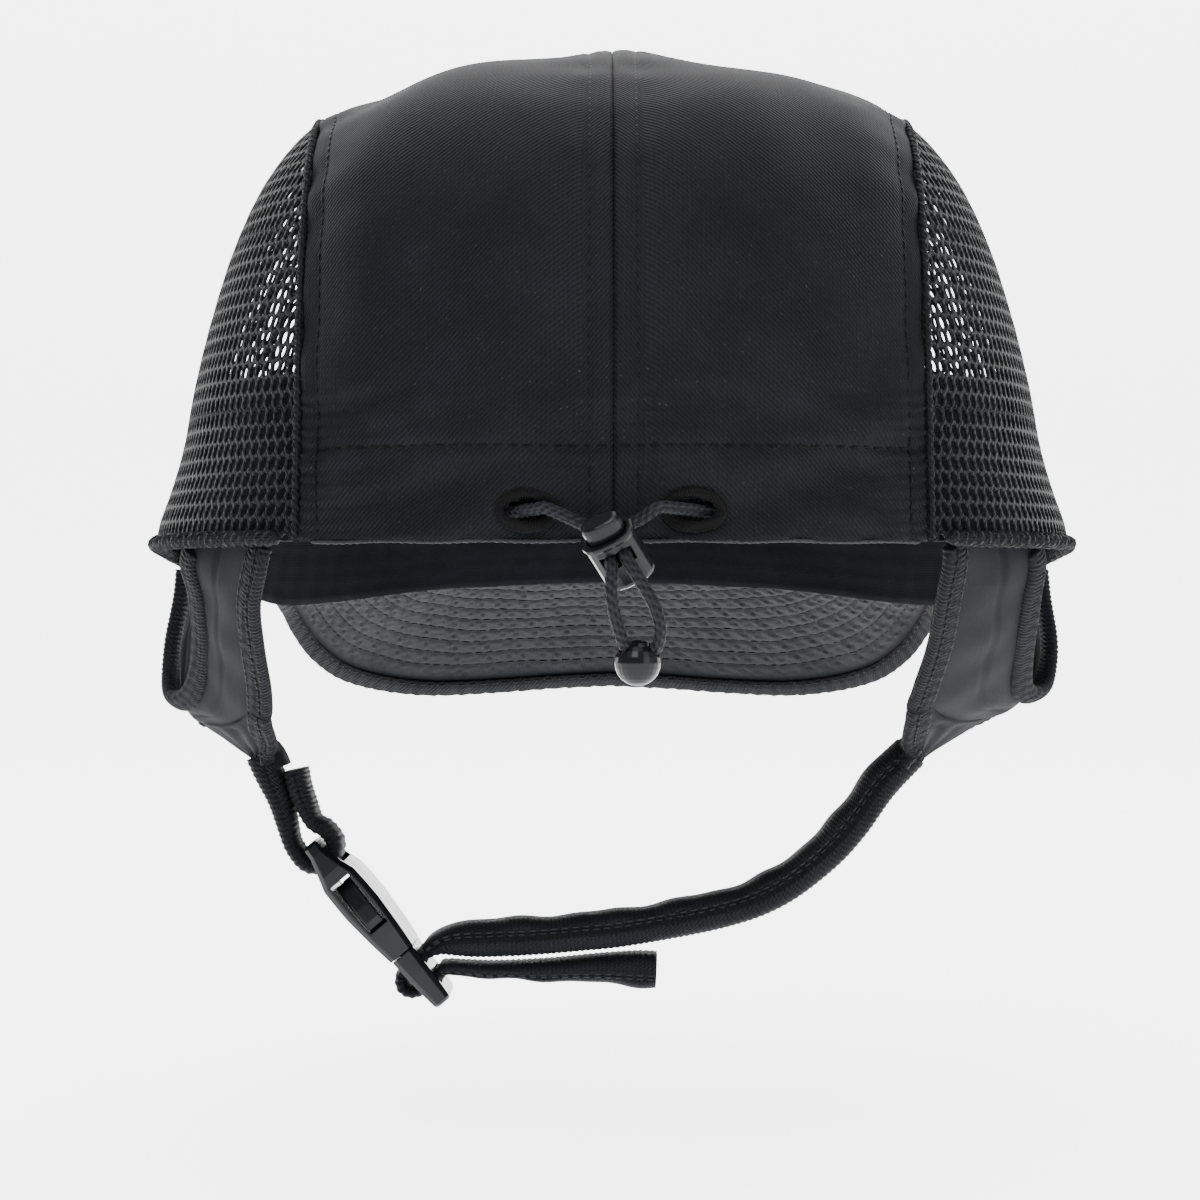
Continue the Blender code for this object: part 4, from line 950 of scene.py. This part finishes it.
def ribbon(name, path, wide, thick, half_w, half_t, groove=None):
    """A soft band along a path with cross ribs. wide and thick are its cross directions at each point."""
    along = arc_length(path)
    a = np.arange(26) / 26 * 2 * np.pi
    cw = np.sign(np.cos(a)) * np.abs(np.cos(a)) ** 0.8
    ct = np.sign(np.sin(a)) * np.abs(np.sin(a)) ** 0.8
    half_w = np.broadcast_to(half_w, along.shape)[:, None]
    half_t = np.broadcast_to(half_t, along.shape)[:, None]
    slant = cw[None] * half_w * 0.35
    bump = RIB_HEIGHT * np.sin(2 * np.pi * (along[:, None] + np.abs(slant)) / RIB_PITCH)
    if groove is not None:
        bump = bump - 0.45 * np.exp(-((cw[None] * half_w - groove) / 0.5) ** 2)
    w, t = cw[None] * (half_w + bump * 0.6), ct[None] * (half_t + bump)
    rings = path[:, None] + wide[:, None] * w[..., None] + thick[:, None] * t[..., None]
    return tube_mesh(name, rings, RIB)


def edge_frames(edge, other):
    run = unit(np.gradient(edge, axis=0))
    away = edge - other
    away = unit(away - run * (away * run).sum(axis=1, keepdims=True))
    return away, np.cross(run, away)


def yokes():
    for side, (sign, rear_in, rear_out, inner, outer) in YOKES.items():
        inner = [wall_spot(*rear_in, sign)] + [np.array(p) for p in inner] + [wall_spot(*YOKE_FRONT[0], sign)]
        outer = [wall_spot(*rear_out, sign)] + [np.array(p) for p in outer] + [wall_spot(*YOKE_FRONT[1], sign)]
        n = 240
        a, b = sample(inner, n), sample(outer, n)
        t = np.linspace(0, 1, 26)[:, None, None]
        p = a[None] * (1 - t) + b[None] * t
        normal = unit(np.cross(np.gradient(p, axis=1), np.gradient(p, axis=0)))
        outward = np.sign((normal * p * [1, 0, 0]).sum(axis=-1, keepdims=True))
        normal = normal * np.where(outward == 0, 1, outward)
        s = arc_length((a + b) / 2)[None, :]
        across = t[..., 0]
        belly = 1.2 * np.sin(np.pi * across) * np.clip(np.minimum(s, s[0, -1] - s) / 12, 0, 1)
        folds = 0.35 * ripple((1, s / 31 + across * 0.8), (0.6, s / 17 - across)) * np.sin(np.pi * across)
        seam = -0.5 * np.exp(-((across - 0.42) / 0.03) ** 2)
        p = p + normal * (belly + folds + seam)[..., None]
        obj = cloth(f"yoke_tricot_{side}", p, 1.4, TRICOT, (0, 0, -60))
        dress(obj, "crown", "knit", f"ear_yoke_{side}")
        away, _ = edge_frames(a, b)
        keep = slice(14, -14)
        dense = smooth_path(a[keep] + away[keep] * 0.6, 420)
        band = ribbon(f"ear_trim_{side}", dense, *edge_frames(dense, resample(b[keep], 420)), 2.6, 1.7)
        dress(band, "crown", "binding", f"ear_binding_{side}")
        neck(side, sign, a, b)


def neck(side, sign, inner, outer):
    """The gusset that gathers the yoke into the strap, with the outer bindings running down its two edges."""
    stations = STRAP_RIGHT if side == "right" else [(x - LOOP_NECK_INSET, z, t) for x, z, t in LOOP_IN]
    top, next_down = (np.array([x, 0, z]) for x, z, _ in stations[:2])
    rear = int(np.flatnonzero(outer[:, 1] > 33)[-1])
    front = int(np.flatnonzero(outer[:, 1] < -10)[0])
    edge = smooth_path(outer[rear:front + 1:3], 40)
    into = smooth_path(inner[rear:front + 1:3], 40)
    raised = edge + unit(into - edge) * 4.0
    shares = np.linspace(1, -1, 40)
    low = np.stack([np.full(40, top[0]), STRAP_Y + NECK_HALF_WIDTH * shares, np.full(40, top[2])], axis=-1)
    lower = low + (next_down - top) * 0.75
    rings = []
    for u in np.linspace(0, 1, 30):
        if u < 0.15:
            row = raised + (edge - raised) * (u / 0.15)
        elif u < 0.8:
            f = (u - 0.15) / 0.65
            ease = f * f * (3 - 2 * f)
            row = edge * (1 - f) + low * f
            row[:, 1] = edge[:, 1] * (1 - ease) + low[:, 1] * ease
        else:
            row = low + (lower - low) * ((u - 0.8) / 0.2)
        rings.append(row)
    sheet_rows = np.array(rings)
    normal = unit(np.cross(np.gradient(sheet_rows, axis=1), np.gradient(sheet_rows, axis=0)))
    normal = normal * np.sign(normal[..., :1] * sign)
    u = np.linspace(0, 1, 30)[:, None]
    half_t = (1.1 + 2.0 * np.clip((u - 0.1) / 0.8, 0, 1)) * np.ones((1, 40))
    edge_round = np.sqrt(np.clip(1 - np.abs(shares) ** 6, 0.02, 1))[None]
    gather = 0.35 * np.sin(shares * 15)[None] * np.sin(np.pi * np.clip(u, 0, 1)) ** 0.5
    outer_face = sheet_rows + normal * (half_t * edge_round + gather)[..., None]
    inner_face = sheet_rows - normal * (half_t * edge_round + 0.6)[..., None]
    loops = np.concatenate([outer_face, inner_face[:, ::-1]], axis=1)
    obj = tube_mesh(f"strap_neck_{side}", loops, TRICOT)
    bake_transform(obj)
    for label, column, pick in (("rear", 0, slice(10, rear + 1)), ("front", 39, slice(front, -12))):
        upper = outer[pick] if label == "rear" else outer[pick][::-1]
        upper_in = inner[pick] if label == "rear" else inner[pick][::-1]
        lead = sheet_rows[6:, column]
        route = smooth_path(np.concatenate([upper[::8], lead[::4]]), 460)
        guide = np.concatenate([upper_in[::8], (sheet_rows[6:, 20])[::4]])
        guide = resample(smooth_path(guide, 200), 460)
        away, out = edge_frames(route, guide)
        wide = 3.1 if label == "rear" else 2.6
        band = ribbon(f"{label}_trim_{side}", route, away, out, wide, 1.75, groove=wide * 0.45)
        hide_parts(f"{label}_binding_{side}")
        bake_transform(band)
        outside = out * sign * np.sign(out[len(out) // 2, 0])
        for key, offset in (("a", 0.45), ("b", -0.55)):
            line = route + away * (wide * offset) + outside * 1.55
            obj = thread_line(f"{label}_trim_thread_{side}_{key}", line, outside, THREAD, None, "binding",
                              length=1.6, gap=0.7, radius=0.2)
            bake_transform(obj)


def buckle_flat(u, w, thick):
    along = np.array([-math.cos(BUCKLE_ANGLE), -math.sin(BUCKLE_ANGLE)])
    across = np.array([-math.sin(BUCKLE_ANGLE), math.cos(BUCKLE_ANGLE)])
    x, z = np.array(BUCKLE_START) + along * u + across * w
    return x, z, thick


def strap_band(name, stations, body, nodes, two_ply=True, step=0.36):
    """A bound strap: a smooth rolled band over a ribbed one, with a groove between them on both edges."""
    count = max(40, int(arc_length(np.array(stations, float)[:, :2])[-1] / step))
    s = smooth_path(stations, count)
    centre = np.stack([s[:, 0], np.full(count, STRAP_Y), s[:, 1]], axis=-1)
    along = arc_length(centre)
    run = unit(np.gradient(centre, axis=0))
    normal = np.stack([-run[:, 2], np.zeros(count), run[:, 0]], axis=-1)
    m = 44
    a = (np.arange(m) + 0.5) / m * 2 * np.pi
    cv = np.sign(np.cos(a)) * np.abs(np.cos(a)) ** 0.45
    cw = np.sign(np.sin(a)) * np.abs(np.sin(a)) ** 0.75
    half_v, half_w = STRAP_WIDTH / 2, s[:, 2] / 2 * PLUMP
    v = np.broadcast_to(cv * half_v, (count, m)).copy()
    w = cw[None] * half_w[:, None]
    ribbed = 1 / (1 + np.exp((w - half_w[:, None] * 0.30) / 0.12)) if two_ply else np.ones_like(w)
    herring = np.sin(2 * np.pi * (along[:, None] + 0.55 * np.abs(w)) / 1.25)
    v += np.sign(cv) * (0.16 * herring * ribbed)
    w += np.sign(cw) * 0.10 * herring * ribbed * (np.abs(cw) > 0.6)
    if two_ply:
        split = np.exp(-((w - half_w[:, None] * 0.30) / 0.42) ** 2)
        v -= np.sign(cv) * 0.8 * split * (np.abs(cv) > 0.7)
        v -= np.sign(cv) * 0.25 * (1 - ribbed)
        wave = 0.25 * ripple((1, along / 19), (0.6, along / 11 + 0.3))[:, None]
        w += wave * (1 - ribbed)
    rings = centre[:, None] + v[..., None] * np.array([0, 1.0, 0]) + w[..., None] * normal[:, None]
    obj = tube_mesh(name, rings, RIB)
    dress(obj, body, "knit", *nodes)
    extra = []
    if two_ply:
        for label, sign in (("rear", 1), ("front", -1)):
            for key, at in (("a", 0.42), ("b", 0.22)):
                line = centre + normal * (half_w * at)[:, None] + np.array([0, sign * (half_v - 0.45), 0])
                out = np.broadcast_to(np.array([0, float(sign), 0]), line.shape)
                extra.append(thread_line(f"{name}_thread_{label}_{key}", line, out, PALE_THREAD, body, "knit",
                                         length=1.5, gap=0.8, radius=0.19))
    return obj, extra


def straps():
    whole = STRAP_RIGHT[:-1] + STRAP_END[1:] + [buckle_flat(BEND_AT, 3.4, TURN_THICK)]
    strap, threads = strap_band("strap_long", whole, None, ["strap_right", "strap_right_end"])
    for obj in [strap] + threads:
        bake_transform(obj)
    middle = (BEND_AT + FOLD_AT) / 2
    turn = [buckle_flat(u, w, TURN_THICK) for u, w in (
        (BEND_AT, 3.2), (BEND_AT, 0), (BEND_AT, -2.7), (BEND_AT + 0.9, -4.5), (middle, -5.3),
        (FOLD_AT - 0.9, -4.5), (FOLD_AT, -2.7), (FOLD_AT, 0), (FOLD_AT, 3.2))]
    strap_band("strap_round_ladder", turn, "ladder_half", ["strap_turn"], two_ply=False, step=0.25)
    tail = [buckle_flat(FOLD_AT, w, TURN_THICK) for w in (3.4, 4.5)] + STRAP_TAIL
    strap_band("strap_free_end", tail, "ladder_half", ["strap_tail"])
    around = [buckle_flat(LOOP_BAR + 3.6 * math.cos(a), 4.05 * math.sin(a), LOOP_THICK)
              for a in np.radians((-90, -60, -30, 0, 30, 60, 90))]
    loop = (LOOP_IN + [buckle_flat(-3, -3.4, LOOP_THICK), buckle_flat(-0.5, -3.95, LOOP_THICK)] + around
            + [buckle_flat(-0.5, 3.95, LOOP_THICK), buckle_flat(-3.2, 3.1, LOOP_THICK)] + LOOP_OUT)
    strap_band("strap_bar_loop", loop, "chin_strap", ["strap_loop_left"], two_ply=False, step=0.3)


# ---- carried-over nodes

def finish_nodes():
    for name in ("buckle_female", "buckle_male", "buckle_prong_rear", "buckle_prong_front", "cord_lock_barrel",
                 "cord_lock_plunger", "cord_bead", "brim_core"):
        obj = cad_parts[name]
        obj.data.materials.clear()
        obj.data.materials.append(FOAM if name == "brim_core" else ACETAL)


studio()
drawcords()
lock_spring()
eyelets()
woven_panels()
crown_stitching()
mesh_panels()
inner_bands()
hem_fringe()
brim()
yokes()
straps()
finish_nodes()
